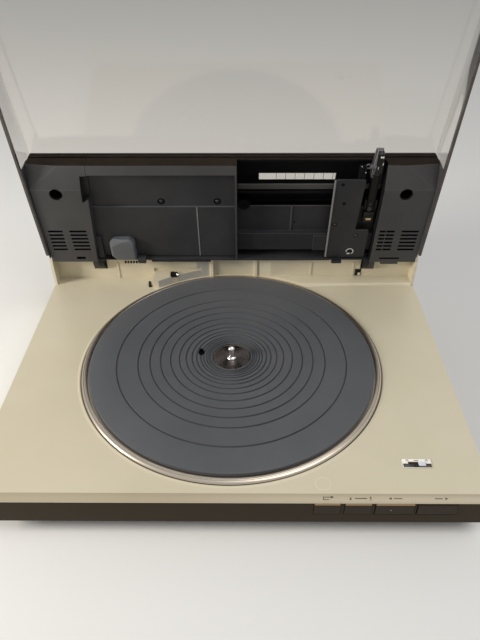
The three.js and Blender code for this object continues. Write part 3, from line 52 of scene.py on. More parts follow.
hingeJoint = next(joint for joint in frame["joints"] if joint["name"] == "lid_hinge")
hingePoint = Vector(hingeJoint["pos_m"])
mm = 0.001
weldReach = 0.000002
deckTop = 0.052
roundSteps = 288  # facets round the platter and its well
lidOpenAngle = math.radians(80.82)  # how far the photo shows the lid turned up
openLid = Matrix.Translation(hingePoint) @ Matrix.Rotation(-lidOpenAngle, 4, "X") @ Matrix.Translation(-hingePoint)
print("frame loaded:", len(nodes), "nodes")


class Settings(dict):  # a dictionary whose entries also read as names
    __getattr__ = dict.__getitem__


def fill(tree, node, inputs):  # each input takes a plain value or the output that feeds it
    for key, value in inputs.items():
        if isinstance(value, bpy.types.NodeSocket):
            tree.links.new(value, node.inputs[key])
        else:
            node.inputs[key].default_value = value
    return node


def added(tree, kind, inputs=None, **settings):
    node = tree.nodes.new(kind)
    for key, value in settings.items():
        setattr(node, key, value)
    return fill(tree, node, inputs or {})


def placed(name, data, turn=Matrix(), place=(0, 0, 0)):
    item = bpy.data.objects.new(name, data)
    item.matrix_world = Matrix.Translation(place) @ turn
    scene.collection.objects.link(item)
    return item


# Camera, light and floor
photoCamera = Settings(
    place=(0.0131, -0.4435, 0.4535), pitch=38.87, yaw=-0.58, roll=-0.29, focalPixels=575.3, longSidePixels=640,
    sensor=36.0, nearest=0.01)


def makeCamera(settings):
    pitch, yaw, roll = (math.radians(settings[key]) for key in ("pitch", "yaw", "roll"))
    forward = Vector((math.sin(yaw) * math.cos(pitch), math.cos(yaw) * math.cos(pitch), -math.sin(pitch)))
    level = Vector((math.cos(yaw), -math.sin(yaw), 0))
    upright = level.cross(forward)
    right = level * math.cos(roll) + upright * math.sin(roll)
    up = upright * math.cos(roll) - level * math.sin(roll)
    data = bpy.data.cameras.new("photoCamera")
    data.sensor_width = settings.sensor
    data.lens = settings.focalPixels / settings.longSidePixels * settings.sensor
    data.clip_start = settings.nearest
    turn = Matrix((right, up, -forward)).transposed().to_4x4()
    scene.camera = placed("photoCamera", data, turn, settings.place)


softLight = {
    "overhead": Settings(place=(0.80, -0.50, 1.95), size=1.4, power=18.0, colour=(0.99, 0.985, 0.985)),
    "window": Settings(place=(-1.27, -0.36, 0.54), size=0.30, power=17.5, colour=(1.0, 0.955, 0.88)),
}
lightAim = Vector((0, 0, 0.05))


def makeLamp(name, settings):
    data = bpy.data.lights.new(name, "AREA")
    data.shape = "SQUARE"
    data.size = settings.size
    data.energy = settings.power
    data.color = settings.colour
    turn = (lightAim - Vector(settings.place)).to_track_quat("-Z", "Y").to_matrix().to_4x4()
    placed(name, data, turn, settings.place)


skyLook = Settings(colour=(0.97, 0.985, 1.0, 1), level=0.32, seenLevel=1.0)


def makeSky(s):  # dim as a light, and white where it is seen, mirrored or looked at through the cover
    world = bpy.data.worlds.new("paleRoom")
    world.use_nodes = True
    tree = world.node_tree
    dim = fill(tree, tree.nodes["Background"], {"Color": s.colour, "Strength": s.level}).outputs[0]
    white = added(tree, "ShaderNodeBackground", {"Strength": s.seenLevel}).outputs[0]
    rays = added(tree, "ShaderNodeLightPath").outputs
    seen = rays["Is Camera Ray"]
    for ray in ("Is Glossy Ray", "Is Transmission Ray"):
        seen = added(tree, "ShaderNodeMath", {0: seen, 1: rays[ray]}, operation="MAXIMUM").outputs[0]
    mix = added(tree, "ShaderNodeMixShader", {0: seen, 1: dim, 2: white})
    fill(tree, tree.nodes["World Output"], {0: mix.outputs[0]})
    scene.world = world


def startMaterial(name):
    material = bpy.data.materials.new(name)
    material.use_nodes = True
    tree = material.node_tree
    return material, tree, tree.nodes["Principled BSDF"]


floorLook = Settings(halfWidth=9.0, colour=(0.80, 0.79, 0.77, 1), roughness=0.7, specular=0.2)


def makeFloor(s):
    reach = s.halfWidth
    mesh = bpy.data.meshes.new("paleFloor")
    corners = [(-reach, -reach, 0), (reach, -reach, 0), (reach, reach, 0), (-reach, reach, 0)]
    mesh.from_pydata(corners, [], [(0, 1, 2, 3)])
    material, tree, shader = startMaterial("paleFloor")
    fill(tree, shader, {"Base Color": s.colour, "Roughness": s.roughness, "Specular IOR Level": s.specular})
    mesh.materials.append(material)
    placed("paleFloor", mesh)


scene.view_settings.view_transform = "Standard"
makeCamera(photoCamera)
for lampName, lampSettings in softLight.items():
    makeLamp(lampName, lampSettings)
makeSky(skyLook)
makeFloor(floorLook)
print("camera, light and floor made")


# Materials. Each reads Object coordinates, which are metres in the part's own frame.
def objectPlace(tree, stretch=(1, 1, 1), centre=(0, 0, 0)):
    moved = tuple(-value * size for value, size in zip(centre, stretch))
    place = added(tree, "ShaderNodeTexCoord").outputs["Object"]
    return added(tree, "ShaderNodeMapping", {"Vector": place, "Scale": stretch, "Location": moved}).outputs["Vector"]


def fromCentre(tree, centre, stretch=(1, 1, 0)):
    place = objectPlace(tree, stretch, centre)
    return added(tree, "ShaderNodeVectorMath", {0: place}, operation="LENGTH").outputs["Value"]


def noise(tree, place, scale, detail=3.0, roughness=0.55):
    inputs = {"Vector": place, "Scale": scale, "Detail": detail, "Roughness": roughness}
    return added(tree, "ShaderNodeTexNoise", inputs).outputs["Fac"]


def ramp(tree, value, dark, light):  # a noise lies mostly between 0.3 and 0.7
    node = added(tree, "ShaderNodeValToRGB", {"Fac": value})
    for element, place, colour in zip(node.color_ramp.elements, (0.3, 0.7), (dark, light)):
        element.position = place
        element.color = (*colour, 1)
    return node.outputs["Color"]


def spread(tree, value, low, high, start=0.0, end=1.0):
    inputs = {"Value": value, "From Min": start, "From Max": end, "To Min": low, "To Max": high}
    return added(tree, "ShaderNodeMapRange", inputs).outputs["Result"]


def mixColour(tree, factor, first, second):
    colours = {6: first, 7: second}
    inputs = {key: (*value, 1) if isinstance(value, tuple) else value for key, value in colours.items()}
    return added(tree, "ShaderNodeMix", {0: factor, **inputs}, data_type="RGBA").outputs[2]


def bumped(tree, shader, height, strength, distance):
    bump = added(tree, "ShaderNodeBump", {"Height": height, "Strength": strength, "Distance": distance})
    fill(tree, shader, {"Normal": bump.outputs["Normal"]})


def look(dark, light, roughness, **others):
    return Settings(dark=dark, light=light, roughness=roughness, **others)


plainPlastic = Settings(
    patches=18, grain=1400, grainStrength=0.25, grainDepth=0.00006, dust=0.1, dustColour=(0.32, 0.30, 0.27),
    dustGrain=420, metallic=0.0, specular=0.4, traceStrength=0.55)


def mouldedPlastic(name, settings, lighter=1.0):
    s = Settings(plainPlastic, **settings)
    material, tree, shader = startMaterial(name)
    place = objectPlace(tree)
    wide = noise(tree, place, s.patches, 4)
    fine = noise(tree, place, s.grain, 2, 0.7)
    dark, light = (tuple(min(1, value * lighter) for value in s[key]) for key in ("dark", "light"))
    dustMask = spread(tree, noise(tree, place, s.dustGrain, 5, 0.75), 0, s.dust, 0.6, 0.8)
    colour = mixColour(tree, dustMask, ramp(tree, wide, dark, light), s.dustColour)
    if "trace" in s:  # a faint round mark left by a label
        centre, radius, width, tone = s.trace
        distance = fromCentre(tree, centre)
        outer = spread(tree, distance, 1, 0, radius, radius + width)
        inner = spread(tree, distance, 0, 1, radius - 2 * width, radius)
        ring = added(tree, "ShaderNodeMath", {0: outer, 1: inner}, operation="MULTIPLY").outputs[0]
        colour = mixColour(tree, spread(tree, ring, 0, s.traceStrength), colour, tone)
    roughness = spread(tree, wide, s.roughness - 0.06, s.roughness + 0.07)
    fill(tree, shader, {"Base Color": colour, "Roughness": roughness, "Metallic": s.metallic,
                        "Specular IOR Level": s.specular})
    bumped(tree, shader, fine, s.grainStrength, s.grainDepth)
    return material


paintGrain = Settings(grain=2600, grainStrength=0.12, grainDepth=0.00003)
labelTrace = ((0.0777, -0.1594, 0.052), 0.0064, 0.0007, (0.72, 0.67, 0.52))
# An edge factor says how many times lighter a look's painted edge highlight is
plasticLooks = {
    "champagnePaint": look(
        (0.580, 0.520, 0.375), (0.665, 0.600, 0.455), 0.38, metallic=0.1, patches=5, dust=0.06,
        dustColour=(0.76, 0.71, 0.60), specular=0.45, trace=labelTrace, edge=1.28, **paintGrain),
    # A darker copy of the champagne, painted on the front slope as shade
    "slopePaint": look(
        (0.380, 0.325, 0.222), (0.435, 0.376, 0.268), 0.4, metallic=0.1, patches=5, dust=0.05,
        dustColour=(0.6, 0.55, 0.45), **paintGrain),
    # A greyer copy of the champagne, painted on the well's wall as shade
    "wellPaint": look(
        (0.47, 0.45, 0.40), (0.53, 0.51, 0.46), 0.45, patches=8, dust=0.05, dustColour=(0.6, 0.58, 0.52),
        **paintGrain),
    "housingCharcoal": look(
        (0.027, 0.027, 0.029), (0.037, 0.037, 0.039), 0.5, patches=24, dust=0.07, specular=0.25, edge=2.0),
    "podCharcoal": look(
        (0.041, 0.040, 0.041), (0.054, 0.052, 0.053), 0.52, patches=24, dust=0.08, specular=0.3, edge=1.35),
    "plateCharcoal": look(
        (0.020, 0.020, 0.0225), (0.029, 0.029, 0.032), 0.48, patches=24, dust=0.07, specular=0.25, edge=2.0),
    "wallBrown": look(
        (0.0135, 0.0085, 0.0055), (0.021, 0.0138, 0.009), 0.55, patches=30, dust=0.02, specular=0.06, edge=1.6),
    # Near black: the colour of black parts, and painted shade lining holes, vents, pits and the lid's compartment
    "pitBlack": look((0.0025, 0.0025, 0.003), (0.0045, 0.0045, 0.005), 0.6, specular=0.1, dust=0.02, edge=3.0),
    "blackPlastic": look((0.007, 0.007, 0.008), (0.013, 0.013, 0.014), 0.36, specular=0.3, dust=0.05, edge=4.0),
    "armBlack": look((0.007, 0.006, 0.006), (0.012, 0.0105, 0.010), 0.42, specular=0.2, dust=0.06, edge=3.0),
    "greyPlastic": look((0.082, 0.088, 0.096), (0.110, 0.116, 0.124), 0.42, edge=1.7),
    "railGrey": look((0.040, 0.038, 0.035), (0.062, 0.059, 0.054), 0.4, edge=1.6),
    "knobWhite": look((0.68, 0.69, 0.78), (0.80, 0.81, 0.88), 0.3, dust=0.05, edge=1.1),
    "selectorCream": look((0.85, 0.82, 0.73), (0.92, 0.90, 0.82), 0.32, dust=0.04, edge=1.05),
    "troughBrown": look((0.085, 0.068, 0.048), (0.13, 0.105, 0.075), 0.4, edge=1.3),
    "footRubber": look((0.011, 0.011, 0.011), (0.02, 0.02, 0.019), 0.75, grain=900, dust=0.25, edge=1.5),
    "printBrown": look((0.055, 0.038, 0.022), (0.085, 0.06, 0.036), 0.5, dust=0.02),
    "printBlack": look((0.012, 0.011, 0.010), (0.02, 0.018, 0.016), 0.5, dust=0.02),
    "printWhite": look((0.50, 0.50, 0.48), (0.66, 0.66, 0.64), 0.45, dust=0.05),
    # Painted shade for the cover's lowest band, where its rim is seen end on
    "smokedEdge": look((0.050, 0.041, 0.036), (0.085, 0.072, 0.064), 0.22, dust=0.08, patches=60),
    "circuitBoard": look((0.16, 0.085, 0.025), (0.24, 0.13, 0.045), 0.45, patches=60, dust=0.15),
    "litEdge": look((0.16, 0.16, 0.155), (0.24, 0.235, 0.225), 0.4),
    "graphite": look((0.075, 0.075, 0.080), (0.125, 0.125, 0.130), 0.33, metallic=0.6, dust=0.05, edge=2.4),
}
plastics = SimpleNamespace(**{name: mouldedPlastic(name, settings) for name, settings in plasticLooks.items()})
# Lighter copies of the looks that have an edge factor, painted on rounded edges as a highlight
edgeHighlights = {name: mouldedPlastic(name + "Edge", settings, settings.edge)
             for name, settings in plasticLooks.items() if "edge" in settings}


plainMetal = Settings(
    wash=0.3, patches=40, smoother=0.05, metallic=1.0, specular=0.5, anisotropic=0.0, bump=0.15, depth=0.00003,
    centre=(0, 0, 0), depthShare=0)
brushed = Settings(wash=0.35, patches=12, smoother=0.08, specular=0.1, bump=0.12, depth=0.00002)


def linedMetal(name, settings):  # turned round a centre if it has rings, or else brushed along x
    s = Settings(plainMetal, **settings)
    material, tree, shader = startMaterial(name)
    if "rings" in s:
        lines = noise(tree, fromCentre(tree, s.centre, (1, 1, s.depthShare)), s.rings, 2, 0.5)
    else:
        lines = noise(tree, objectPlace(tree, (6, 900, 900)), 6, 3, 0.6)
    wash = spread(tree, noise(tree, objectPlace(tree), s.patches), 0, s.wash)
    colour = mixColour(tree, wash, ramp(tree, lines, s.dark, s.light), s.dark)
    roughness = spread(tree, lines, s.roughness - s.smoother, s.roughness + 0.08)
    fill(tree, shader, {"Base Color": colour, "Roughness": roughness, "Metallic": s.metallic,
                        "Specular IOR Level": s.specular, "Anisotropic": s.anisotropic})
    bumped(tree, shader, lines, s.bump, s.depth)
    return material


platterCentre = tuple((low + high) / 2 for low, high in zip(*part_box("platter")))
metalLooks = {
    "fasciaBronze": look((0.027, 0.018, 0.009), (0.043, 0.030, 0.016), 0.4, metallic=0.3, **brushed),
    "keyBronze": look((0.028, 0.020, 0.012), (0.044, 0.033, 0.021), 0.34, metallic=0.35, **brushed),
    # A light bronze, painted on the keys' top edges as a highlight
    "keyEdgeBronze": look((0.30, 0.20, 0.11), (0.42, 0.29, 0.17), 0.3, metallic=0.6, **brushed),
    "platterMetal": look((0.42, 0.366, 0.302), (0.56, 0.497, 0.415), 0.27, rings=2600, centre=platterCentre),
    # A darker copy of the platter metal, painted on the platter's side as shade
    "rimSideMetal": look((0.24, 0.20, 0.16), (0.36, 0.31, 0.26), 0.3, rings=2600, centre=platterCentre),
    "hubMetal": look(
        (0.10, 0.088, 0.086), (0.30, 0.26, 0.24), 0.24, rings=4200, centre=platterCentre, bump=0.3,
        anisotropic=0.9),
    "brightSteel": look((0.55, 0.545, 0.54), (0.72, 0.71, 0.70), 0.16, rings=700, depthShare=1),
    "darkIron": look((0.10, 0.10, 0.105), (0.17, 0.17, 0.175), 0.42, rings=900, depthShare=1),
    "blackedSteel": look((0.012, 0.012, 0.013), (0.03, 0.03, 0.032), 0.3, rings=900, depthShare=1),
    "coilCopper": look((0.42, 0.17, 0.06), (0.62, 0.30, 0.13), 0.35, rings=2400, depthShare=1),
    "bushBrass": look((0.42, 0.33, 0.20), (0.60, 0.50, 0.34), 0.3, rings=1400, depthShare=1),
}
metals = SimpleNamespace(**{name: linedMetal(name, settings) for name, settings in metalLooks.items()})


def rubber(name, s):
    material, tree, shader = startMaterial(name)
    place = objectPlace(tree)
    wide = noise(tree, place, 9, 4)
    specks = spread(tree, noise(tree, place, 900, 3, 0.8), 0, 0.35, 0.70, 0.82)
    colour = mixColour(tree, specks, ramp(tree, wide, s.dark, s.light), s.dust)
    fill(tree, shader, {"Base Color": colour, "Roughness": spread(tree, wide, *s.roughness), "Specular IOR Level": 0.4,
                        "Sheen Weight": 0.1, "Sheen Roughness": 0.5})
    bumped(tree, shader, noise(tree, place, 2200, 2, 0.7), 0.3, 0.00005)
    return material


def clearPlastic(name, s):
    material, tree, shader = startMaterial(name)
    place = objectPlace(tree)
    specks = spread(tree, noise(tree, place, 520, 2, 0.8), 0, s.specks, 0.76, 0.80)
    roughness = spread(tree, noise(tree, place, 7, 5, 0.6), s.polished, s.hazy, 0.45, 0.75)
    fill(tree, shader, {"Base Color": mixColour(tree, specks, s.tint, s.dust), "Roughness": roughness,
                        "Transmission Weight": 1.0, "IOR": 1.49})
    scratches = noise(tree, objectPlace(tree, (30, 240, 1200)), 1.6, 2, 0.6)
    bumped(tree, shader, scratches, s.scratched, 0.00003)
    return material


rubberLook = look((0.062, 0.065, 0.071), (0.082, 0.085, 0.092), (0.5, 0.62), dust=(0.25, 0.24, 0.22))
matRubber = rubber("matRubber", rubberLook)
clearAcrylic = clearPlastic("clearAcrylic", Settings(
    tint=(0.99, 0.967, 0.925), dust=(0.50, 0.47, 0.43), specks=1, polished=0.012, hazy=0.07, scratched=0.012))
windowAcrylic = clearPlastic("windowAcrylic", Settings(
    tint=(0.97, 0.965, 0.94), dust=(0.8, 0.78, 0.74), specks=0, polished=0.01, hazy=0.03, scratched=0.005))
print("materials made")


# Geometry Nodes trees for what is turned or repeated
def startTree(name, **inputs):
    tree = bpy.data.node_groups.new(name, "GeometryNodeTree")
    for label, kind in inputs.items():
        tree.interface.new_socket(label, in_out="INPUT", socket_type="NodeSocket" + kind)
    tree.interface.new_socket("result", in_out="OUTPUT", socket_type="NodeSocketGeometry")
    return tree, added(tree, "NodeGroupInput").outputs


def endTree(tree, start, geometry):
    real = added(tree, "GeometryNodeRealizeInstances", {"Geometry": geometry}).outputs["Geometry"]
    finish = added(tree, "GeometryNodeSetMaterial", {"Geometry": real, "Material": start["material"]})
    added(tree, "NodeGroupOutput", {"result": finish.outputs["Geometry"]})
    return tree


def instanced(tree, start, points, turn=None):
    source = added(tree, "GeometryNodeObjectInfo", {"Object": start["piece"]}).outputs["Geometry"]
    inputs = {"Points": points, "Instance": source, **(turn or {})}
    return endTree(tree, start, added(tree, "GeometryNodeInstanceOnPoints", inputs).outputs["Instances"])


def turnedTree():
    tree, start = startTree("turnedProfile", profile="Geometry", segments="Int", pathRadius="Float",
                            material="Material")
    curve = added(tree, "GeometryNodeMeshToCurve", {"Mesh": start["profile"]}).outputs["Curve"]
    size = {"Resolution": start["segments"], "Radius": start["pathRadius"]}
    path = added(tree, "GeometryNodeCurvePrimitiveCircle", size)
    sweep = added(tree, "GeometryNodeCurveToMesh", {"Curve": path.outputs["Curve"], "Profile Curve": curve})
    merge = added(tree, "GeometryNodeMergeByDistance", {"Geometry": sweep.outputs["Mesh"], "Distance": weldReach})
    return endTree(tree, start, merge.outputs["Geometry"])


def ringTree():
    tree, start = startTree("ringOfPieces", piece="Object", count="Int", radius="Float", material="Material")
    points = added(tree, "GeometryNodeMeshCircle", {"Vertices": start["count"], "Radius": start["radius"]})
    index = added(tree, "GeometryNodeInputIndex").outputs[0]
    share = added(tree, "ShaderNodeMath", {0: index, 1: start["count"]}, operation="DIVIDE").outputs[0]
    turn = added(tree, "ShaderNodeMath", {0: share, 1: math.tau}, operation="MULTIPLY").outputs[0]
    angle = added(tree, "ShaderNodeCombineXYZ", {"Z": turn}).outputs["Vector"]
    return instanced(tree, start, points.outputs["Mesh"], {"Rotation": angle})


def rowTree():
    tree, start = startTree("rowsOfPieces", piece="Object", columns="Int", rows="Int", width="Float", height="Float",
                            material="Material")
    grid = added(tree, "GeometryNodeMeshGrid", {"Size X": start["width"], "Size Y": start["height"],
                                                "Vertices X": start["columns"], "Vertices Y": start["rows"]})
    return instanced(tree, start, grid.outputs["Mesh"])


def pointTree():
    tree, start = startTree("piecesOnPoints", points="Geometry", piece="Object", material="Material")
    return instanced(tree, start, start["points"])


trees = {"turned": turnedTree(), "ring": ringTree(), "rows": rowTree(), "points": pointTree()}


def settled(piece):
    view = bpy.context.evaluated_depsgraph_get()
    return bpy.data.meshes.new_from_object(piece.evaluated_get(view), depsgraph=view)


def freeze(piece):
    mesh = settled(piece)
    piece.modifiers.clear()
    piece.data = mesh
    return piece


def modified(piece, kind, **settings):
    modifier = piece.modifiers.new(kind.lower(), kind)
    for key, value in settings.items():
        setattr(modifier, key, value)
    return modifier


def grown(name, tree, inputs, base=None):
    piece = placed(name, base or bpy.data.meshes.new(name))
    modifier = modified(piece, "NODES", node_group=tree)
    for item in tree.interface.items_tree:
        if item.item_type == "SOCKET" and item.in_out == "INPUT" and item.name in inputs:
            modifier[item.identifier] = inputs[item.name]
    return freeze(piece)


def startBuild(mesh):
    build = bmesh.new()
    build.from_mesh(mesh)
    return build


def endBuild(build, mesh):
    build.to_mesh(mesh)
    build.free()


def formed(name, build):
    mesh = bpy.data.meshes.new(name)
    endBuild(build, mesh)
    return placed(name, mesh)


def crisp(piece, angle=30):
    piece.data.shade_smooth()
    piece.data.set_sharp_from_angle(angle=math.radians(angle))
    return piece


def tidyNormals(piece, sharpAngle=32):
    build = startBuild(piece.data)
    bmesh.ops.recalc_face_normals(build, faces=build.faces)
    endBuild(build, piece.data)
    return crisp(piece, sharpAngle)


def coat(piece, material):
    piece.data.materials.clear()
    piece.data.materials.append(material)
    return piece


def filleted(points, radius, closed=True, steps=3):
    result = []
    count = len(points)
    for i, corner in enumerate(points):
        here = Vector(corner)
        if not closed and i in (0, count - 1):
            result.append(here)
            continue
        before = Vector(points[i - 1]) - here
        after = Vector(points[(i + 1) % count]) - here
        reach = min(radius, before.length * 0.45, after.length * 0.45)
        first, last = here + before.normalized() * reach, here + after.normalized() * reach
        for step in range(steps + 1):
            share = step / steps
            result.append(first.lerp(here, share).lerp(here.lerp(last, share), share))
    return result


def turned(name, profile, centre, material, segments=96, fillet=0.0004, closed=True, place=None):
    points = filleted(profile, fillet, closed) if fillet else [Vector(point) for point in profile]
    pathRadius = max(point[0] for point in points)
    mesh = bpy.data.meshes.new(name)
    edges = [(i, i + 1) for i in range(len(points) - 1)] + ([(len(points) - 1, 0)] if closed else [])
    mesh.from_pydata([(point[0] - pathRadius, -point[1], 0) for point in points], edges, [])
    piece = grown(name, trees["turned"], {"segments": segments, "pathRadius": pathRadius, "material": material}, mesh)
    piece.data.transform(Matrix.Translation((centre[0], centre[1], 0)))
    if place is not None:
        piece.data.transform(place)
    return tidyNormals(piece)


axisOrder = {"X": lambda a, b, c: (c, a, b), "Y": lambda a, b, c: (a, c, b), "Z": lambda a, b, c: (a, b, c)}


def prism(name, outline, span, axis="X", place=lambda x, y, z: (x, y, z)):
    build = bmesh.new()
    order = axisOrder[axis]
    ends = [[build.verts.new(place(*order(a, b, level))) for a, b in outline] for level in span]
    for end in ends:
        build.faces.new(end)
    count = len(outline)
    for i in range(count):
        build.faces.new([ends[0][i], ends[0][(i + 1) % count], ends[1][(i + 1) % count], ends[1][i]])
    bmesh.ops.recalc_face_normals(build, faces=build.faces)
    return formed(name, build)


def arc(centre, radius, start, end, steps):
    angles = [math.radians(start + (end - start) * i / steps) for i in range(steps + 1)]
    return [(centre[0] + radius * math.cos(angle), centre[1] + radius * math.sin(angle)) for angle in angles]


def circle(centre, radius, steps=48):
    return arc(centre, radius, 0, 360 - 360 / steps, steps - 1)


def dome(radius, base=0.0):  # from the rim of a half ball up to its pole
    angles = [math.radians(angle) for angle in range(0, 90, 10)]
    return [(radius * math.cos(a), base + radius * math.sin(a)) for a in angles] + [(0, base + radius)]


def oblong(a, b):
    return [(a[0], b[0]), (a[1], b[0]), (a[1], b[1]), (a[0], b[1])]


# Places in the lid are given as it lies when shut: x, reach forward of the hinge and lift above the deck, all in mm
def shut(x, reach, lift):
    return Vector((x * mm, hingePoint.y - reach * mm, deckTop + lift * mm))


def lidPrism(name, outline, span, axis="X"):
    piece = prism(name, outline, span, axis, shut)
    piece.data.transform(openLid)
    return piece


def lidBlock(name, x, reach, lift):
    return lidPrism(name, oblong(x, reach), lift, "Z")


def lidTurned(name, profile, x, reach, material, segments=32, fillet=0.0001):
    metres = [(radius * mm, deckTop + lift * mm) for radius, lift in profile]
    return turned(name, metres, shut(x, reach, 0), material, segments, fillet, True, openLid)


def lidRing(name, radii, lifts, x, reach, material, segments=32, fillet=0.0001):
    (inner, outer), (low, high) = radii, lifts
    profile = [(inner, low), (outer, low), (outer, high), (inner, high)]
    return lidTurned(name, profile, x, reach, material, segments, fillet)


def dissolved(build, angle):
    bmesh.ops.dissolve_limit(build, angle_limit=math.radians(angle), verts=build.verts, edges=build.edges)


def dropLoose(build):
    bmesh.ops.delete(build, geom=[vertex for vertex in build.verts if not vertex.link_faces], context="VERTS")


def cleanCopy(node, name):
    build = startBuild(nodes[node].data)
    bmesh.ops.remove_doubles(build, verts=build.verts, dist=weldReach)
    dissolved(build, 0.4)
    return formed(name, build)


def hulled(name, points):
    build = bmesh.new()
    for point in points:
        build.verts.new(point)
    bmesh.ops.convex_hull(build, input=build.verts)
    dropLoose(build)
    dissolved(build, 0.8)
    bmesh.ops.recalc_face_normals(build, faces=build.faces)
    return formed(name, build)


def hullCopy(node, name, extra=()):  # the outer form of a node, without its hollows
    places = {tuple(round(value, 6) for value in vertex.co) for vertex in nodes[node].data.vertices}
    places |= {tuple(round(value, 6) for value in point) for point in extra}
    return hulled(name, sorted(places))


def carve(piece, cutters, lining=None):
    for cutter in cutters:
        if lining is not None:
            coat(cutter, lining)
        modified(piece, "BOOLEAN", operation="DIFFERENCE", solver="EXACT", material_mode="TRANSFER", object=cutter)
    freeze(piece)
    for cutter in cutters:
        bpy.data.objects.remove(cutter)
    return piece


def weighted(piece):
    modified(piece, "WEIGHTED_NORMAL", keep_sharp=True)
    return freeze(piece)


def roundEdges(piece, width, segments=2, angle=34, clamped=True):
    main = piece.data.materials[0] if piece.data.materials else None
    bevel = modified(piece, "BEVEL", width=width, segments=segments, limit_method="ANGLE",
                     angle_limit=math.radians(angle), use_clamp_overlap=clamped, miter_outer="MITER_ARC")
    # The bevel's faces take the lighter copy, a painted highlight along the edges
    if main is not None and main.name in edgeHighlights and len(piece.data.materials) == 1:
        piece.data.materials.append(edgeHighlights[main.name])
        bevel.material = 1
    piece.data.shade_smooth()
    freeze(piece).data.shade_smooth()
    return weighted(piece)


def flatFaces(piece, broad=1.2):  # broad faces stay flat and only the narrow strips between them turn
    build = startBuild(piece.data)
    wide = {face.index: face.calc_area() > broad * mm * max(edge.calc_length() for edge in face.edges)
            for face in build.faces}
    for edge in build.edges:
        faces = edge.link_faces
        angle = math.degrees(edge.calc_face_angle(0)) if len(faces) == 2 else 0
        edge.smooth = not (angle > 40 or (angle > 0.7 and all(wide[face.index] for face in faces)))
    for face in build.faces:
        face.smooth = True
    endBuild(build, piece.data)
    return weighted(piece)


def split(piece, point, normal):
    build = startBuild(piece.data)
    everything = build.verts[:] + build.edges[:] + build.faces[:]
    bmesh.ops.bisect_plane(build, geom=everything, plane_co=point, plane_no=normal, dist=0.000001)
    endBuild(build, piece.data)
    return piece


def paint(piece, material, chosen, place=Matrix()):
    piece.data.materials.append(material)
    slot = len(piece.data.materials) - 1
    turn = place.to_3x3()
    for face in piece.data.polygons:
        if chosen(place @ face.center, turn @ face.normal):
            face.material_index = slot
    return piece


def done(piece, body, replaced=(), slot=None):
    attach(piece, body)
    if replaced:
        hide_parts(*replaced)
    return piece


def joined(name, pieces, *how):
    return done(merged(name, pieces), *how)


def rounded(node, material, width, segments=2, angle=34, cutters=(), name=None):
    piece = coat(cleanCopy(node, name or node + "Shape"), material)
    if cutters:
        coat(carve(piece, cutters), material)
    roundEdges(piece, width, segments, angle)
    return done(piece, bodyOf[node], (node,))


def flatBlock(name, x, y, z, material, edge=0.15, segments=2):  # sizes in mm
    x, y, z = ([value * mm for value in span] for span in (x, y, z))
    piece = coat(prism(name, oblong(x, y), z, "Z"), material)
    return roundEdges(piece, edge * mm, segments) if edge else crisp(piece)


def lettering(name, words, size, thickness, material, place):
    curve = bpy.data.curves.new(name, "FONT")
    curve.body = words
    curve.size = size
    curve.extrude = thickness / 2
    curve.align_x = curve.align_y = "CENTER"
    text = placed(name + "Curve", curve)
    mesh = settled(text)
    bpy.data.objects.remove(text)
    mesh.transform(place)
    return coat(placed(name, mesh), material)


def merged(name, pieces):
    build = bmesh.new()
    materials = []
    for piece in pieces:
        start = len(build.faces)
        build.from_mesh(piece.data)
        build.faces.ensure_lookup_table()
        for face in build.faces[start:]:
            material = piece.data.materials[face.material_index]
            if material not in materials:
                materials.append(material)
            face.material_index = materials.index(material)
    for piece in pieces:
        bpy.data.objects.remove(piece)
    whole = formed(name, build)
    for material in materials:
        whole.data.materials.append(material)
    return whole


print("node trees made")


# Cabinet: one moulding, with its round well and hinge notches cut again with fine facets
cabinetLook = Settings(
    wellRadius=0.15435, wellFloor=0.036, edge=0.0006, notchRadius=0.01465, notch=(0.1525, 0.1685),
    slopeFront=-0.165, wallFrom=(-0.0295, 0.1, 0.047), wallReach=0.15475)


def makeCabinet(s):
    cutters = [prism("wellCutter", circle((0, platterCentre[1]), s.wellRadius, roundSteps), (s.wellFloor, 0.1), "Z")]
    for side in (1, -1):
        span = tuple(sorted(side * value for value in s.notch))
        cutters.append(prism("notchCutter", circle((hingePoint.y, hingePoint.z), s.notchRadius, 96), span, "X"))
    cabinet = rounded("cabinet", plastics.champagnePaint, s.edge, 3, 34, cutters, "cabinetMoulding")
    # The front slope takes the darker copy as painted shade
    paint(cabinet, plastics.slopePaint, lambda at, normal: normal.y < -0.5 and normal.z > 0.3 and at.y < s.slopeFront)
    # The well's wall behind the platter, left of the first rib, takes the greyer copy as painted shade
    x, y, z = s.wallFrom
    paint(cabinet, plastics.wellPaint, lambda at, normal: at.z > z and at.x < x and at.y > y and abs(normal.z) < 0.3
          and (at.xy - Vector(platterCentre[:2])).length < s.wallReach)


lipLook = Settings(inner=151.6, outer=154.7, low=48.5, top=52.3)
ribLook = Settings(x=((-29.0, -24.8), (24.5, 28.4)), y=(139.9, 143.6), z=(50.0, 76.0))


def makeWellTrim(lip, ribs):  # the rolled lip round the well and two ribs on the wall behind it
    inner, outer, low, top = (lip[key] * mm for key in ("inner", "outer", "low", "top"))
    profile = [(inner, low), (outer, low), (outer, top - 0.35 * mm), (inner + 1.4 * mm, top), (inner + 0.6 * mm, top),
               (inner, top - 0.6 * mm)]
    rolled = turned("wellLip", profile, platterCentre, plastics.champagnePaint, roundSteps, 0.0002)
    done(rolled, "base", (), "champagne_paint")
    # The ribs are coated in the lighter champagne copy, a painted highlight
    pieces = [flatBlock("wellRib", x, ribs.y, ribs.z, edgeHighlights["champagnePaint"], 0.5, 3) for x in ribs.x]
    joined("wellRibs", pieces, "base", (), "champagne_paint")


makeCabinet(cabinetLook)
makeWellTrim(lipLook, ribLook)


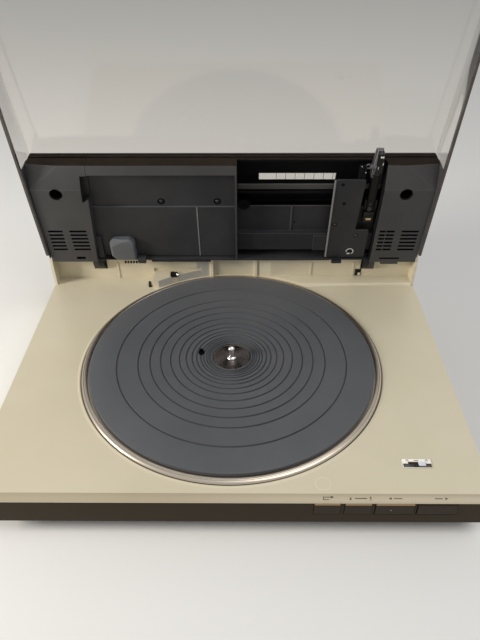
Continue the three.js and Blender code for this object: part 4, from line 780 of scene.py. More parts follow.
# Small printed signs on the slope above the keys, each drawn in mm round its own middle
signLook = Settings(slopeMiddle=(-0.17205, 0.05005), slopeAngle=33.0, thickness=0.00008, lift=0.00004)
signShapes = {
    "cueUp": (0.0988, [[(-1.0, -1.0), (1.0, -1.0), (0, 1.1)]]),
    "cueBar": (0.1072, [oblong((-4.8, 4.8), (-0.32, 0.32))]),
    "cueDown": (0.1150, [[(-1.0, 1.2), (1.0, 1.2), (0, -0.5)], oblong((-0.9, 0.9), (-1.3, -0.85))]),
    "start": (0.1313, [[(-1.9, 0), (0.5, 0.95), (0.5, -0.95)], oblong((2.4, 9.0), (-0.32, 0.32))]),
    "stop": (0.1740, [[(3.4, 0), (1.0, 0.95), (1.0, -0.95)], oblong((-7.5, -1.2), (-0.32, 0.32))]),
    "repeat": (0.0810, [oblong((-4.4, 0.6), (-1.2, -0.7)), oblong((-4.4, -3.9), (-1.2, 1.2)),
                        oblong((-4.4, 2.2), (0.7, 1.2)), [(2.0, 1.9), (4.5, 0.95), (2.0, 0)]]),
}


def makeSigns(s):
    pieces = []
    for sign, (x, shapes) in signShapes.items():
        place = Matrix.Translation((x, *s.slopeMiddle)) @ Matrix.Rotation(math.radians(s.slopeAngle), 4, "X")
        for shape in shapes:
            piece = prism(sign + "Sign", [(a * mm, b * mm) for a, b in shape], (-s.lift, s.thickness), "Z")
            piece.data.transform(place)
            pieces.append(coat(piece, plastics.printBrown))
    joined("keySigns", pieces, "base")


makeSigns(signLook)
print("cabinet made")


# Platter, mat, hub and spindle
platterLook = Settings(
    radius=0.15115, rimTop=0.0542, rimInner=0.1452, seat=0.052, rimBottom=0.040, innerWall=0.14665, under=0.049,
    hubRadius=0.015, hubBottom=0.0445, bore=0.0039, ribInner=0.064, ribHeight=0.0046, ribThickness=0.0026,
    ribCount=12, rimEdge=0.0008, rimRound=0.0006,
    rimSteps=((0, 0.0024), (0.0010, 0.0009), (0.0025, 0), (0.0030, 0.0003), (0.0035, 0)))
matLook = Settings(
    radius=0.1431, low=0.0523, top=0.0568, hole=0.0196, grooveWidth=0.0017, grooveDepth=0.0015, lipDrop=0.0009,
    lipWidth=0.0026, finger=(-0.0312, 0.0066, 0.0031, 0.0052),
    grooveShares=[0.809, 0.661, 0.577, 0.503, 0.432, 0.370, 0.322, 0.280, 0.248, 0.218, 0.198, 0.178, 0.162, 0.149])


def makePlatter(s):
    r, top = s.radius, s.rimTop
    profile = [(s.bore, s.hubBottom), (s.hubRadius, s.hubBottom), (s.hubRadius, s.under), (s.innerWall, s.under),
               (s.innerWall, s.rimBottom), (r - s.rimEdge, s.rimBottom), (r, s.rimBottom + s.rimEdge)]
    profile += [(r - inward, top - down) for inward, down in s.rimSteps]
    profile += [(s.rimInner + s.rimRound, top), (s.rimInner, top - s.rimRound), (s.rimInner, s.seat), (s.bore, s.seat)]
    disc = turned("platterDisc", profile, platterCentre, metals.platterMetal, roundSteps, 0.0003)
    middle = Vector(platterCentre[:2])
    inside = r - s.rimEdge
    # The platter's side takes the darker copy as painted shade
    paint(disc, metals.rimSideMetal, lambda at, normal: abs(normal.z) < 0.5 and (at.xy - middle).length > inside)
    done(disc, "turning_platter", ("platter",))
    length, half, under = s.innerWall - s.ribInner, s.ribThickness / 2, s.under
    outline = oblong((-length / 2, length / 2), (-half, half))
    rib = prism("ribPiece", outline, (under - s.ribHeight, under + 0.0002), "Z")
    roundEdges(rib, 0.0004)
    ribs = grown("platterRibs", trees["ring"], {"piece": rib, "count": s.ribCount, "radius": s.ribInner + length / 2,
                                                "material": metals.platterMetal})
    bpy.data.objects.remove(rib)
    ribs.data.transform(Matrix.Translation((*platterCentre[:2], 0)))
    done(ribs, "turning_platter", (), "cast_aluminium")


def makeMat(s):
    top, bottom, half = s.top, s.top - s.grooveDepth, s.grooveWidth / 2
    profile = [(s.hole, s.low), (s.radius, s.low), (s.radius, top - s.lipDrop), (s.radius - s.lipWidth, top)]
    for share in s.grooveShares:
        middle = share * s.radius
        profile += [(middle + half, top), (middle + half * 0.4, bottom), (middle - half * 0.4, bottom),
                    (middle - half, top)]
    disc = turned("rubberMat", profile + [(s.hole, top)], platterCentre, matRubber, 256, 0)
    x, y, width, length = s.finger
    oval = [(platterCentre[0] + x + a * width, platterCentre[1] + y + b * length) for a, b in circle((0, 0), 1, 40)]
    # The finger hole's walls and a disc at its foot are painted near black as shade
    carve(disc, [prism("fingerCutter", oval, (s.low - 0.002, top + 0.002), "Z")], plastics.pitBlack)
    pit = prism("fingerPit", oval, (s.low - 0.0002, s.low + 0.0006), "Z")
    done(crisp(coat(pit, plastics.pitBlack)), "turning_platter", (), "mat_rubber")
    done(tidyNormals(disc, 20), "turning_platter", ("platter_mat",))


hubLook = Settings(radius=0.0193, low=0.0523, top=0.0559, bore=0.0039, rim=0.0007, drop=0.0002)
spindleLook = Settings(
    radius=0.0036, bottom=0.0203, top=0.0700, neck=0.0028, flare=0.0046, flareLow=0.0556, flareTop=0.0574)


def makeHub(s):
    r, top, rim, low = s.radius, s.top, s.rim, s.top - s.drop
    profile = [(s.bore, s.low), (r, s.low), (r, top - rim), (r - rim, top), (r - 2 * rim, low), (s.bore, low)]
    done(turned("hubDisc", profile, platterCentre, metals.hubMetal, 160, 0.0002), "turning_platter", ("hub_disc",))


def makeSpindle(s):
    r, top, neck, flare, high = s.radius, s.top, s.neck, s.flare, s.flareTop
    profile = [(0, s.bottom), (r, s.bottom), (r, s.flareLow), (flare, s.flareLow + 0.0001), (flare, high - 0.0012),
               (flare - 0.0006, high - 0.0004), (neck + 0.0003, high), (neck, high + 0.0006), (neck, top - r - 0.0012)]
    spindle = turned("centreSpindle", profile + dome(r, top - r), platterCentre, metals.brightSteel, 48, 0, False)
    done(spindle, "turning_platter", ("spindle",))


makePlatter(platterLook)
makeMat(matLook)
makeHub(hubLook)
makeSpindle(spindleLook)
print("platter, mat and hub made")


# Front strip and its keys, each with a slanted top edge; on all but the stop key that edge carries a painted highlight
# in light bronze
fasciaLook = Settings(
    edge=0.0004, linedWindows=((69.6, 91.4), (94.6, 116.9)), liner=0.28, linerDepth=(-174.15, -171.8),
    linerFoot=31.1, linerTop=46.0, stripY=(-174.2, -171.7),
    stripX=(-215, 69.6, 91.4, 94.6, 116.9, 119.6, 151.9, 153.9, 186.4, 215), stripZ=(19.3, 31.1, 46.1, 47.0),
    openCells=((1, 1), (3, 1), (5, 1), (7, 1)), dot=(0.1327, -0.1750, 0.0379), dotRadius=0.0006)


def windowedStrip(name, s):  # a grid of cells, with the windows' cells left open
    build = bmesh.new()
    corner = {(i, j, k): build.verts.new((x * mm, y * mm, z * mm)) for i, x in enumerate(s.stripX)
              for j, z in enumerate(s.stripZ) for k, y in enumerate(s.stripY)}
    cells = {(i, j) for i in range(len(s.stripX) - 1) for j in range(len(s.stripZ) - 1)} - set(s.openCells)
    for i, j in sorted(cells):
        ring = [(i, j), (i + 1, j), (i + 1, j + 1), (i, j + 1)]
        for k in (0, 1):
            build.faces.new([corner[a, b, k] for a, b in ring])
        for n, beside in enumerate(((i, j - 1), (i + 1, j), (i, j + 1), (i - 1, j))):
            if beside not in cells:
                (a, b), (c, d) = ring[n], ring[(n + 1) % 4]
                build.faces.new([corner[a, b, 0], corner[a, b, 1], corner[c, d, 1], corner[c, d, 0]])
    dropLoose(build)
    bmesh.ops.recalc_face_normals(build, faces=build.faces)
    return formed(name, build)


def makeFront(s):
    strip = roundEdges(coat(windowedStrip("front_fasciaShape", s), metals.fasciaBronze), s.edge)
    done(flatFaces(strip), "base", ("front_fascia",))
    for key in ("repeat_button", "cueing_button", "start_button", "stop_button"):
        topHighlight = metals.fasciaBronze if key == "stop_button" else metals.keyEdgeBronze
        paint(rounded(key, metals.keyBronze, s.edge), topHighlight, lambda centre, normal: normal.z > 0.3 and normal.y < -0.3)
    low, top, thick = s.linerFoot, s.linerTop, s.liner
    spans = [span for left, right in s.linedWindows for span in (
        ((left, left + thick), (low, top)), ((right - thick, right), (low, top)), ((left, right), (low, low + thick)))]
    strips = [flatBlock("windowLiner", x, s.linerDepth, z, metals.fasciaBronze, 0) for x, z in spans]
    joined("windowLiners", strips, "base", (), "bronze_fascia")
    # A small raised pale dot on the start key
    x, y, z = s.dot
    r = s.dotRadius
    place = Matrix.Translation((x, y + r * 0.3, z)) @ Matrix.Rotation(math.pi / 2, 4, "X")
    profile = [(0, -0.0002), (r, -0.0002), (r, 0), (r * 0.7, r * 0.3), (0, r * 0.4)]
    dot = turned("startLens", profile, (0, 0, 0), plastics.printWhite, 24, 0, True, place)
    done(dot, "start_key", (), "button_bronze")


makeFront(fasciaLook)


# Speed selector: a pale plate with a dark trough, a grey end block and a sliding knob
selectorLook = Settings(
    x=(146.9, 171.9), y=(-143.6, -134.4), z=(47.0, 52.4), trough=((147.5, 171.4), (-143.2, -139.4), (51.5, 60)),
    slot=((152.0, 166.9), (-141.6, -137.5), (49.5, 60)), endBlock=((148.0, 152.9), (-142.9, -139.7), (51.4, 51.75)),
    knob=((160.6, 166.6), (-141.7, -137.7), (51.8, 52.9)), shade=((156.7, 160.7), (-142.9, -139.7), (51.85, 52.5)),
    stem=((162.4, 164.8), (-140.2, -137.8), (47.3, 52.0)), marks=(("33", 151.4), ("45", 168.0)), markY=-136.1,
    markSize=2.7, markThickness=0.00006, bar=((157.2, 161.2), (-136.4, -135.8), (52.35, 52.47)))


def makeSelector(s):
    plate = flatBlock("selectorPlate", s.x, s.y, s.z, plastics.selectorCream, 0.25)
    carve(plate, [flatBlock(name, *s[name], plastics.troughBrown, 0) for name in ("trough", "slot")])
    done(crisp(plate), "base", ("selector_plate",))
    done(flatBlock("selectorEndBlock", *s.endBlock, plastics.greyPlastic), "base", (), "grey_plastic")
    knob = flatBlock("knobTop", *s.knob, plastics.knobWhite, 0.2)
    stem = flatBlock("knobStem", *s.stem, plastics.knobWhite)
    shade = flatBlock("knobShade", *s.shade, plastics.blackPlastic)
    joined("selectorKnob", [knob, stem, shade], "speed_knob", ("selector_knob",))
    rounded("selector_switch", plastics.greyPlastic, 0.0003)
    level = (s.z[1] + 0.04) * mm
    signs = [lettering("speedMark" + words, words, s.markSize * mm, s.markThickness, plastics.printBlack,
                       Matrix.Translation((x * mm, s.markY * mm, level))) for words, x in s.marks]
    signs.append(flatBlock("speedBar", *s.bar, plastics.printBlack, 0))
    joined("speedMarks", signs, "base")


makeSelector(selectorLook)


# Small fittings on the rear deck
lensLook = Settings(radius=2.3, place=(-67.0, 130.4, 61.2), tilt=35, foot=0.6)
catchLook = ((150.4, 153.5), (136.5, 137.3), (56.0, 59.6))


def makeDeckFittings(s, catch):
    for fitting in ("lid_switch_pin", "size_sensor", "wall_clip"):
        rounded(fitting, plastics.blackPlastic, 0.0003)
    r = s.radius * mm
    foot = -r * s.foot
    place = Matrix.Translation([value * mm for value in s.place]) @ Matrix.Rotation(math.radians(s.tilt), 4, "X")
    lens = turned("sensorLens", [(0, foot), (r, foot)] + dome(r), (0, 0, 0), metals.brightSteel, 32, 0, False, place)
    done(lens, "base", (), "steel")
    done(flatBlock("clipCatch", *catch, plastics.champagnePaint, 0.3), "base")


makeDeckFittings(lensLook, catchLook)
print("front strip, keys and fittings made")


# Lid. Its pieces are placed as they lie when it is shut, then turned up with it
shutFrame = openLid.inverted()


def lidPaint(piece, material, chosen):  # chosen(x, reach, lift, normal) in mm, as the lid lies when shut
    return paint(piece, material, lambda centre, normal: chosen(
        centre.x / mm, (hingePoint.y - centre.y) / mm, (centre.z - deckTop) / mm, normal), shutFrame)


def lidHull(name, points, material, edge=0.25):
    piece = hulled(name, [openLid @ shut(*point) for point in points])
    return roundEdges(coat(piece, material), edge * mm, angle=6)


def softBlock(name, x, reach, lift, material, edge=0.25):
    return roundEdges(coat(lidBlock(name, x, reach, lift), material), edge * mm, angle=20)


def screwHead(name, radius, height):
    profile = [(0, 0), (radius * 0.8, 0), (radius, height * 0.4), (radius, height), (0, height)]
    head = turned(name, profile, (0, 0, 0), metals.blackedSteel, 20, 0)
    wide, narrow = ((-half, half) for half in (radius * 0.7, radius * 0.14))
    arms = [prism("slot", oblong(*pair), (-height, height * 0.5), "Z") for pair in ((narrow, wide), (wide, narrow))]
    return crisp(carve(head, arms), 35)


def screwsAt(name, places, radius, height, material, place=Matrix()):
    head = screwHead("screwPiece", radius * mm, height * mm)
    base = bpy.data.meshes.new(name)
    base.from_pydata([tuple(point) for point in places], [], [])
    screws = grown(name, trees["points"], {"piece": head, "material": material}, base)
    bpy.data.objects.remove(head)
    screws.data.transform(place)
    return screws


def lidScrews(name, places, radius, height, material, body):
    return done(screwsAt(name, [shut(*place) for place in places], radius, height, material, openLid), body)


def rowOf(name, size, columns, rows, spans, middle, material):  # blocks in rows, size and middle in mm in the shut lid
    half = [value * mm / 2 for value in size]
    bar = prism("rowPiece", oblong((-half[0], half[0]), (-half[1], half[1])), (-half[2], half[2]), "Z")
    row = grown(name, trees["rows"], {"piece": bar, "columns": columns, "rows": rows, "width": spans[0] * mm,
                                      "height": spans[1] * mm, "material": material})
    bpy.data.objects.remove(bar)
    row.data.transform(openLid @ Matrix.Translation(shut(*middle)))
    return row


# Two dark grooves that run along the front wall, whose face is brown
wallLines = Settings(x=(-215, 215), reach=(135.6, 140), lifts=((24.2, 26.0), (30.4, 33.0)), brownFrom=136)


def wallGrooves():
    return [coat(lidBlock("groove", wallLines.x, wallLines.reach, lift), plastics.pitBlack) for lift in wallLines.lifts]


def brownWall(piece):
    front = wallLines.brownFrom
    return lidPaint(piece, plastics.wallBrown, lambda x, reach, lift, normal: normal.y < -0.9 and reach > front)


# Pods: the outer form of each, with its slots, its round hole and the room for the hinge arm cut in
podLook = Settings(
    edge=0.5, face=3.5, ventRows=6, ventPitch=5.2, ventHeight=2.6, ventMiddle=43.6, ventDepth=6, holeReach=105.6,
    holeRadius=7, holeDepth=13, ringWidth=0.45, darkSide=162, outer=211, knuckle=14.4, knuckleSpan=(153.7, 167.3),
    barSpan=(160.7, 167.3), barReach=44.4, barHalf=7.4)
podFacet = ((0, 111.2, 3.5), (32, 131.7, 8.15), (0, 136.7, 13.0), (34, 136.7, 9.5))
podNotch = Settings(
    outline=((-158.7, 95.2), (-152.0, 99.0), (-146.0, 102.4), (-146.0, 125.9), (-156.4, 125.9)), lift=(0, 13.6))
podPlaces = {
    "left_pod": Settings(
        side=-1, hole=-184.6, vents=((-205, -189), (-181.3, -162.4)), slot=((-181.3, -171), (15.8, 19.4))),
    "right_pod": Settings(
        side=1, hole=181.6, vents=((162.4, 168.9), (169.9, 179), (186.7, 205.4)),
        slot=((168.6, 191.6), (16.1, 18.3))),
}


def makePod(node, s, place):
    side, face = place.side, s.face
    facet = [openLid @ shut(side * (s.outer - inward), reach, lift) for inward, reach, lift in podFacet]
    pod = coat(hullCopy(node, node + "Shape", facet), plastics.podCharcoal)
    brownWall(roundEdges(pod, s.edge * mm, angle=5))
    cutters = wallGrooves()
    for left, right in place.vents:
        size = (right - left, s.ventHeight, s.ventDepth)
        spans = (0.01, (s.ventRows - 1) * s.ventPitch)
        middle = ((left + right) / 2, s.ventMiddle, face)
        cutters.append(rowOf("vents", size, 1, s.ventRows, spans, middle, plastics.pitBlack))
    outline = circle((place.hole, s.holeReach), s.holeRadius, 40)
    cutters.append(lidPrism("hole", outline, (face - 3, face + s.holeDepth), "Z"))
    cutters.append(lidBlock("slot", *place.slot, (face - 3, face + 3)))
    # The vents, the round hole and the slot are lined near black as painted shade
    carve(pod, cutters, plastics.pitBlack)
    if side < 0:
        carve(pod, [lidPrism("notch", podNotch.outline, podNotch.lift, "Z")], plastics.plateCharcoal)
    else:
        # The right pod's inner wall is painted black as shade
        lidPaint(pod, plastics.blackPlastic, lambda x, reach, lift, normal: normal.x < -0.9 and x < s.darkSide)
    knuckle, bar = (tuple(sorted(side * value for value in s[key])) for key in ("knuckleSpan", "barSpan"))
    lift = (hingePoint.z - deckTop) / mm
    room = [lidPrism("knuckleRoom", circle((0, lift), s.knuckle, 48), knuckle),
            lidBlock("barRoom", bar, (-2, s.barReach), (lift - s.barHalf, lift + s.barHalf))]
    carve(pod, room, plastics.blackPlastic)
    done(flatFaces(pod), "lid", (node,))
    inner, r = s.ringWidth, s.holeRadius
    profile = [(r - inner, face + 3), (r - inner, face - 0.1), (r + 0.05, face - 0.1), (r + 0.05, face + 3)]
    ring = lidTurned(node + "Ring", profile, place.hole, s.holeReach, plastics.blackPlastic, 40, 0.00015)
    done(ring, "lid", (), "black_plastic")


for podNode, podPlace in podPlaces.items():
    makePod(podNode, podLook, podPlace)
print("pods made")


# Frame between the pods, its cover plates and small fittings. Its left end is drawn a little into the pod
frameLook = Settings(
    endFrom=-157.9, drawnIn=0.8, room=((4.9, 157.4), (9, 134.3), 7.6), wallRoom=(5, 8.2), backFrom=12,
    bar=((-1.2, 6), 133.5))


def makeFrame(s):
    frameShape = coat(cleanCopy("housing_frame", "housingFrame"), plastics.podCharcoal)
    for vertex in frameShape.data.vertices:
        if vertex.co.x < s.endFrom * mm:
            vertex.co.x -= s.drawnIn * mm
    carve(frameShape, wallGrooves(), plastics.pitBlack)
    brownWall(roundEdges(frameShape, 0.3 * mm, 2, 12, False))
    (left, right), (back, front), floor = s.room
    wallLeft, wallFloor = s.wallRoom
    # The compartment's inside and the inner sides of its front wall are painted near black as shade
    lidPaint(frameShape, plastics.pitBlack, lambda x, reach, lift, normal: (
        left < x < right and back < reach < front and lift > floor) or (
        reach > front and lift > wallFloor and abs(normal.y) < 0.5 and wallLeft < x < right))
    (barLeft, barRight), barFront = s.bar
    lidPaint(frameShape, plastics.plateCharcoal, lambda x, reach, lift, normal:
             reach < s.backFrom or (barLeft < x < barRight and reach < barFront))
    done(frameShape, "lid", ("housing_frame",))
    top = rounded("housing_top_plate", plastics.blackPlastic, 0.3 * mm, angle=20, name="housingTopPlate")
    # Its underside is painted near black as shade
    lidPaint(top, plastics.pitBlack, lambda x, reach, lift, normal: normal.z < -0.5)


topTrimLook = Settings(
    lift=42.9, atReach=20, slope=0.0791, line=(-0.2, 0.1), outer=((-206, 206), (14, 131)), width=0.8,
    ticks=(31, 107.5, 13), tickReach=((97.6, 101.6), (99.6, 101.6)), tickWidth=0.5)


def makeTopTrim(s):  # a fine line round the plate and a scale of ticks beside the window
    def outside(x, reach, lift):
        return shut(x, reach, s.lift - (reach - s.atReach) * s.slope + lift)

    (left, right), (back, front) = s.outer
    w, half = s.width, s.tickWidth / 2
    sides = (back + w, front - w)
    bars = [((left, right), (back, back + w)), ((left, right), (front - w, front)), ((left, left + w), sides),
            ((right - w, right), sides)]
    first, last, count = s.ticks
    for i in range(count):
        x = first + (last - first) * i / (count - 1)
        bars.append(((x - half, x + half), s.tickReach[i % 2]))
    trim = merged("topPlateTrim", [coat(prism("trimLine", oblong(*bar), s.line, "Z", outside), metals.bushBrass)
                                   for bar in bars])
    trim.data.transform(openLid)
    done(trim, "lid", (), "steel")


coverPlateLook = Settings(
    right=2.2, front=(126.0, -150.2), step=(82.3, -153.2), back=(12.3, -157.8), lifts=(15.8, 13.8, 17.8),
    seamX=(-39.6, -38.4), seamLift=(13.5, 14.6), screws=(-77.4, -16.6), screwReach=88.3, screwLift=15.5,
    screwSize=(2.0, 1.4), pocket=(4.1, (14, 17)), ring=((2.1, 4.0), (15.55, 16.9)))


def makeCoverPlate(s):  # two levels, with a step between them
    right, (low, lower, high) = s.right, s.lifts
    (front, frontX), (step, stepX), (back, backX) = s.front, s.step, s.back
    halves = []
    for floor, outline in ((low, [(frontX, front), (right, front), (right, step), (stepX, step)]),
                           (lower, [(stepX, step), (right, step), (right, back), (backX, back)])):
        half = coat(lidPrism("plateHalf", outline, (floor, high), "Z"), plastics.housingCharcoal)
        halves.append(roundEdges(half, 0.25 * mm, angle=20))
    plate = merged("leftCoverPlate", halves)
    # The step's face is painted grey as a highlight
    lidPaint(plate, plastics.greyPlastic, lambda x, reach, lift, normal: normal.y < -0.5 and abs(reach - step) < 0.5)
    radius, span = s.pocket
    carve(plate, [lidPrism("pocket", circle((x, s.screwReach), radius, 40), span, "Z") for x in s.screws],
          plastics.pitBlack)
    done(flatFaces(plate), "lid", ("left_cover_plate",))
    seam = softBlock("plateSeam", s.seamX, (back + 0.3, step - 0.3), s.seamLift, plastics.litEdge, 0.12)
    done(seam, "lid", (), "housing_black")
    for number, x in enumerate(s.screws):
        ring = lidRing(f"screwRing{number}", *s.ring, x, s.screwReach, plastics.pitBlack, fillet=0.0002)
        done(ring, "lid", (), "black_plastic")
    places = [(x, s.screwReach, s.screwLift) for x in s.screws]
    lidScrews("plateScrews", places, *s.screwSize, metals.darkIron, "lid")


teethLook = Settings(size=(2.1, 1.8, 2.6), count=5, span=(13.0, 0.01), middle=(-119.8, 9.2, 5.6))
fittingLook = {
    "leftCatch": ("housingCharcoal", (-111.4, -102.2), (8.2, 15.0), (4.4, 11.5)),
    "leftShelf": ("plateCharcoal", (-157.0, -150.4), (12.5, 43.0), (9.6, 13.6)),
    "rightCatch": ("blackPlastic", (114.4, 125.8), (8.1, 11.6), (4.6, 8.4)),
    "rightTick": ("printWhite", (126.4, 127.4), (8.2, 11.2), (5.0, 8.0)),
    "podTab": ("podCharcoal", (171.2, 191.3), (8.0, 11.6), (3.7, 7.2)),
    "leftSkirt": ("housingCharcoal", (-211.95, -210.9), (19, 136.7), (0.8, 20)),
    "rightSkirt": ("podCharcoal", (210.9, 211.95), (30, 136.7), (0.8, 20)),
    "rightSkirtRear": ("podCharcoal", (210.9, 211.95), (19, 30), (3.6, 20)),
    "rearLip": ("plateCharcoal", (-100, 112), (8.2, 11.4), (9.9, 12.5)),
}


def makeFittings(teeth, fittings):
    row = rowOf("blackTeeth", teeth.size, teeth.count, 1, teeth.span, teeth.middle, plastics.blackPlastic)
    done(row, "lid", (), "black_plastic")
    for name, (finish, *spans) in fittings.items():
        done(softBlock(name, *spans, vars(plastics)[finish]), "lid", (), "housing_black")
    rounded("sensor_cover", plastics.greyPlastic, 0.7 * mm, 3, 14, name="sensorCoverShape")


makeFrame(frameLook)
makeTopTrim(topTrimLook)
makeCoverPlate(coverPlateLook)
makeFittings(teethLook, fittingLook)
print("housing frame and cover plate made")


# Compartment behind the arm: back panel, rail, rod and the scale window; its drive takes a finish with the other parts
# at the end
compartmentLook = Settings(
    fin=(65, 0.9, 20.4), frontFrom=78, screws=((105.9, 33.8, 12.6), (68.6, 56.8, 20.2)), screwSize=(1.4, 0.8),
    marks=7, markSpan=(60.7, 0.01), markMiddle=(77.35, 107.8, 33.85), markSize=(0.4, 8.6, 0.8))


def makeCompartment(s):
    panel = rounded("compartment_panel", plastics.plateCharcoal, 0.25 * mm, angle=25, name="compartmentPanel")
    fin, half, top = s.fin
    # A grey stripe at x 65 and, forward of reach 78, the faces that face up when the lid is open are painted highlights
    lidPaint(panel, plastics.railGrey, lambda x, reach, lift, normal: (abs(x - fin) < half and lift < top)
             or (normal.y < -0.9 and reach > s.frontFrom))
    lidScrews("panelScrews", s.screws, *s.screwSize, metals.blackedSteel, "lid")
    rounded("guide_rail", plastics.railGrey, 0.3 * mm)
    rounded("guide_rod", plastics.pitBlack, 0.1 * mm)
    rounded("scale_window", windowAcrylic, 0.15 * mm)
    marks = rowOf("scaleMarks", s.markSize, s.marks, 1, s.markSpan, s.markMiddle, plastics.printBrown)
    done(marks, "lid", (), "clear_cover")


makeCompartment(compartmentLook)


# Carriage plate, with its screws and a white adjuster mark
carriageLook = Settings(
    screws=((112.8, 60.7, 10.1), (138.2, 45.3, 10.1)), screwSize=(1.3, 0.6), markCentre=(134.6, 21.6),
    markRadii=(4.5, 3.5), markTurn=(-60, 190), markLift=(10.38, 10.6), markScrewLift=9.9, markScrewSize=(2.0, 0.7),
    bar=((131.6, 135.0), (17.6, 19.4)),
    flange=((106.6, 108.1), (13.4, 117.6), (9.9, 12.6)), dots=((132.6, 133.2, 12.8), (137.4, 126.2, 12.8)),
    bracket=((130.5, 138.0), (118.5, 134.6), (12.9, 14.4)), holeLift=(10.42, 10.7),
    holes=((115.4, 113.0, 2.0), (119.7, 89.1, 2.0), (112.8, 60.7, 2.4), (138.2, 45.3, 2.2)))


def makeCarriage(s):
    rounded("carriage_plate", plastics.plateCharcoal, 0.25 * mm, angle=30, name="carriagePlate")
    done(softBlock("carriageFlange", *s.flange, plastics.litEdge, 0.1), "carriage", (), "housing_black")
    lidScrews("carriageScrews", s.screws, *s.screwSize, metals.darkIron, "carriage")
    # Black discs where the plate's holes are, painted shade
    discs = [coat(lidPrism("plateHole", circle((x, reach), r, 24), s.holeLift, "Z"), plastics.pitBlack)
             for x, reach, r in s.holes]
    joined("plateHoles", discs, "carriage", (), "black_plastic")
    centre, (start, end), (outer, inner) = s.markCentre, s.markTurn, s.markRadii
    outline = arc(centre, outer, start, end, 24) + arc(centre, inner, end, start, 24)
    mark = coat(lidPrism("adjusterMark", outline, s.markLift, "Z"), plastics.printWhite)
    bar = coat(lidBlock("adjusterBar", *s.bar, s.markLift), plastics.printWhite)
    done(crisp(merged("adjusterMark", [mark, bar])), "carriage")
    lidScrews("adjusterScrew", [(*centre, s.markScrewLift)], *s.markScrewSize, metals.blackedSteel, "carriage")
    bracket = softBlock("carriageTongue", *s.bracket, plastics.pitBlack)
    dots = [lidRing(f"dot{number}", (0, 0.55), (lift - 0.1, lift + 0.3), x, reach, plastics.printWhite, 16, 0)
            for number, (x, reach, lift) in enumerate(s.dots)]
    joined("carriageTongue", [bracket] + dots, "carriage", (), "black_plastic")
    rounded("carriage_slider", plastics.pitBlack, 0.3 * mm)


makeCarriage(carriageLook)


# Arm, head and cartridge
armLook = Settings(
    walls=((144.7, 145.8), (152.2, 153.3)), wallReach=(76.8, 122.6), wallLift=(12.9, 17.6),
    web=((145.7, 152.3), (76.8, 122.6), (14.2, 15.4)), tail=((147, 151), (61.8, 77.2), (14.2, 16.6)),
    pin=((85.7, 15.5), 1.2, (142.8, 155.2)), cap=(149.0, 85.7, 2.7), rearRing=((1.14, 1.9), 148.6, 79.6),
    capLifts=(13.4, 13.7, 14.4), brass=((146.2, 152.4), (64.9, 67.7), (12.75, 13.6)))
headLook = Settings(
    blade=[(143.4, 120.2, 19.9), (143.4, 120.2, 13.4), (145.6, 120.2, 11.9), (143.5, 131, 19.9), (143.5, 131, 12.9),
           (146.6, 133, 11.4), (145.6, 150.6, 20.1), (152.6, 150.6, 20.1), (146.6, 150.3, 15.6), (151.6, 150.3, 15.6)],
    body=[(147.0, 122.8, 17.8), (153.8, 122.8, 17.8), (147.0, 122.8, 12.1), (153.8, 122.8, 12.1), (147.2, 148.6, 17.8),
          (153.6, 148.6, 17.8), (147.4, 147.4, 14.0), (153.4, 147.4, 14.0), (147.2, 144.0, 11.9), (153.6, 144.0, 11.9)],
    plate=[(x, reach, lift) for *sides, reach in ((143.2, 154.9, 120.8), (143.3, 154.8, 131.7), (145.3, 152.7, 150.6))
           for lift in (18.0, 20.0) for x in sides],
    chrome=(((148.6, 152.4), (144.5, 146.5), (9.5, 10.3)), ((152.3, 153.5), (135.3, 138.2), (11.0, 12.0)),
            ((148.3, 149.4), (130.6, 133.8), (11.1, 12.0))),
    fingerRing=((1.6, 2.9), (12.9, 14.3), 139.4, 133.2), fingerBar=((141.6, 144.2), (131.6, 134.4), (13.1, 14.2)),
    screws=((145.6, 123.2, 11.3), (152.6, 124.4, 11.3)), screwSize=(1.0, 1.2))


def makeArm(s):  # an open channel with a thin web between its walls
    walls = [softBlock("armWall", x, s.wallReach, s.wallLift, plastics.pitBlack) for x in s.walls]
    web = softBlock("armWeb", *s.web, plastics.armBlack)
    tail = softBlock("armTail", *s.tail, plastics.armBlack)
    middle, radius, span = s.pin
    pin = coat(lidPrism("armPin", circle(middle, radius, 20), span), metals.blackedSteel)
    joined("tonearmShape", walls + [web, tail, pin], "arm", ("tonearm",))
    (x, reach, r), (low, step, top) = s.cap, s.capLifts
    profile = [(0, low), (r * 0.8, low), (r, step), (r, top), (0, top)]
    cap = lidTurned("pivotCap", profile, x, reach, plastics.blackPlastic)
    radii, x, reach = s.rearRing
    ring = lidRing("rearRing", radii, (step, top), x, reach, plastics.greyPlastic)
    joined("pivotCap", [cap, ring], "arm", (), "black_plastic")
    rounded("counterweight", plastics.armBlack, 0.4 * mm, angle=25)
    done(softBlock("brassBush", *s.brass, metals.bushBrass, 0.2), "arm", (), "steel")
    rounded("arm_gimbal", plastics.armBlack, 0.2 * mm, angle=30, name="gimbalShape")


def makeHead(s):
    parts = [lidHull(name, s[key], plastics.graphite) for name, key in (("headPlate", "plate"), ("headBlade", "blade"))]
    joined("headshellShape", parts, "arm", ("headshell",))
    done(lidHull("cartridgeShape", s.body, plastics.blackPlastic, 0.5), "arm", ("cartridge",))
    rounded("stylus", plastics.armBlack, 0.15 * mm)
    chrome = [softBlock(f"clip{number}", *spans, metals.brightSteel, 0.3) for number, spans in enumerate(s.chrome)]
    joined("chromeClips", chrome, "arm", (), "steel")
    ring = lidRing("fingerRing", *s.fingerRing, metals.darkIron, fillet=0.0004)
    bar = softBlock("fingerBar", *s.fingerBar, plastics.graphite, 0.3)
    joined("fingerLift", [ring, bar], "arm", (), "pod_grey")
    lidScrews("headScrews", s.screws, *s.screwSize, metals.blackedSteel, "arm")


makeArm(armLook)
makeHead(headLook)
print("carriage and arm made")
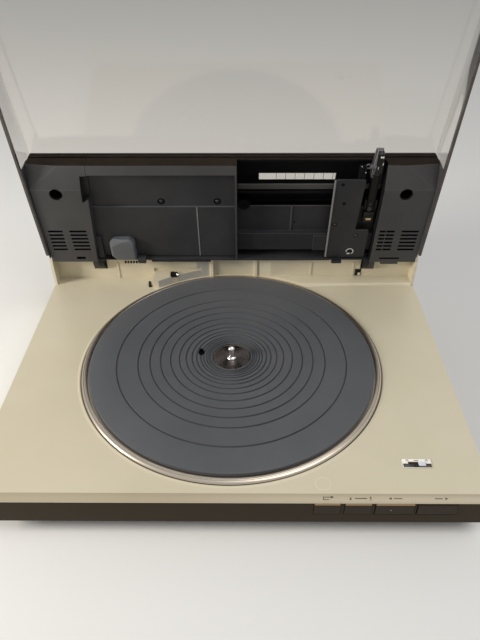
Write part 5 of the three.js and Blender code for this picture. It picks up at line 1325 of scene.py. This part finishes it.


# Hinge arms, a black knuckle beside an ear in the pods' grey, and the clear cover, with painted shade on the band where
# its rim is seen end on
hingeLook = Settings(earFrom=0.1607, edge=0.3)
coverLook = Settings(edge=0.5, rimBand=3.4)


def makeHingeArms(s):
    for node, side in (("hinge_arm_left", -1), ("hinge_arm_right", 1)):
        arm = coat(cleanCopy(node, node + "Shape"), plastics.blackPlastic)
        split(arm, Vector((side * s.earFrom, 0, 0)), Vector((1, 0, 0)))
        paint(arm, plastics.podCharcoal, lambda centre, normal: abs(centre.x) > s.earFrom)
        done(roundEdges(arm, s.edge * mm), "lid", (node,))


def makeCover(s):
    cover = rounded("lid_cover", clearAcrylic, s.edge * mm, 3, 20, name="clearCover")
    # The lowest band of the cover is painted dark as shade where its rim is seen end on
    split(cover, openLid @ shut(0, 0, s.rimBand), openLid.to_3x3() @ Vector((0, 0, 1)))
    lidPaint(cover, plastics.smokedEdge, lambda x, reach, lift, normal: lift < s.rimBand)


makeHingeArms(hingeLook)
makeCover(coverLook)
print("hinges and cover made")


# Screws that hold the bottom pan, heads down
panScrewLook = Settings(
    places=((-100, -156), (0, -156), (100, -156), (-100, 158), (0, 158), (100, 158), (-199, -60), (-199, 60),
            (199, -60), (199, 60)), under=13.5, radius=3.2, height=1.3)
panScrews = screwsAt("panScrews", [(x * mm, -y * mm, -panScrewLook.under * mm) for x, y in panScrewLook.places],
                     panScrewLook.radius, panScrewLook.height, metals.darkIron, Matrix.Rotation(math.pi, 4, "X"))
done(panScrews, "base")


# Everything else keeps its solid and takes a finish
otherFinishes = (
    (plastics.blackPlastic, ("bottom_pan", "drive_pulley", "idler_pulley")), (plastics.pitBlack, ("drive_belt",)),
    (plastics.circuitBoard, ("button_board", "main_board")), (metals.coilCopper, ("stator_board",)),
    (plastics.footRubber, ("mains_gland", "audio_gland", "foot_front_left", "foot_front_right", "foot_rear_left",
                           "foot_rear_right")), (metals.blackedSteel, ("tracking_motor",)),
    (metals.brightSteel, ("bearing_housing", "hinge_pin_left", "hinge_pin_right")),
    (metals.darkIron, ("power_transformer", "rotor_magnet", "fixing_screw")),
)
for finish, members in otherFinishes:
    for member in members:
        coat(nodes[member], finish)
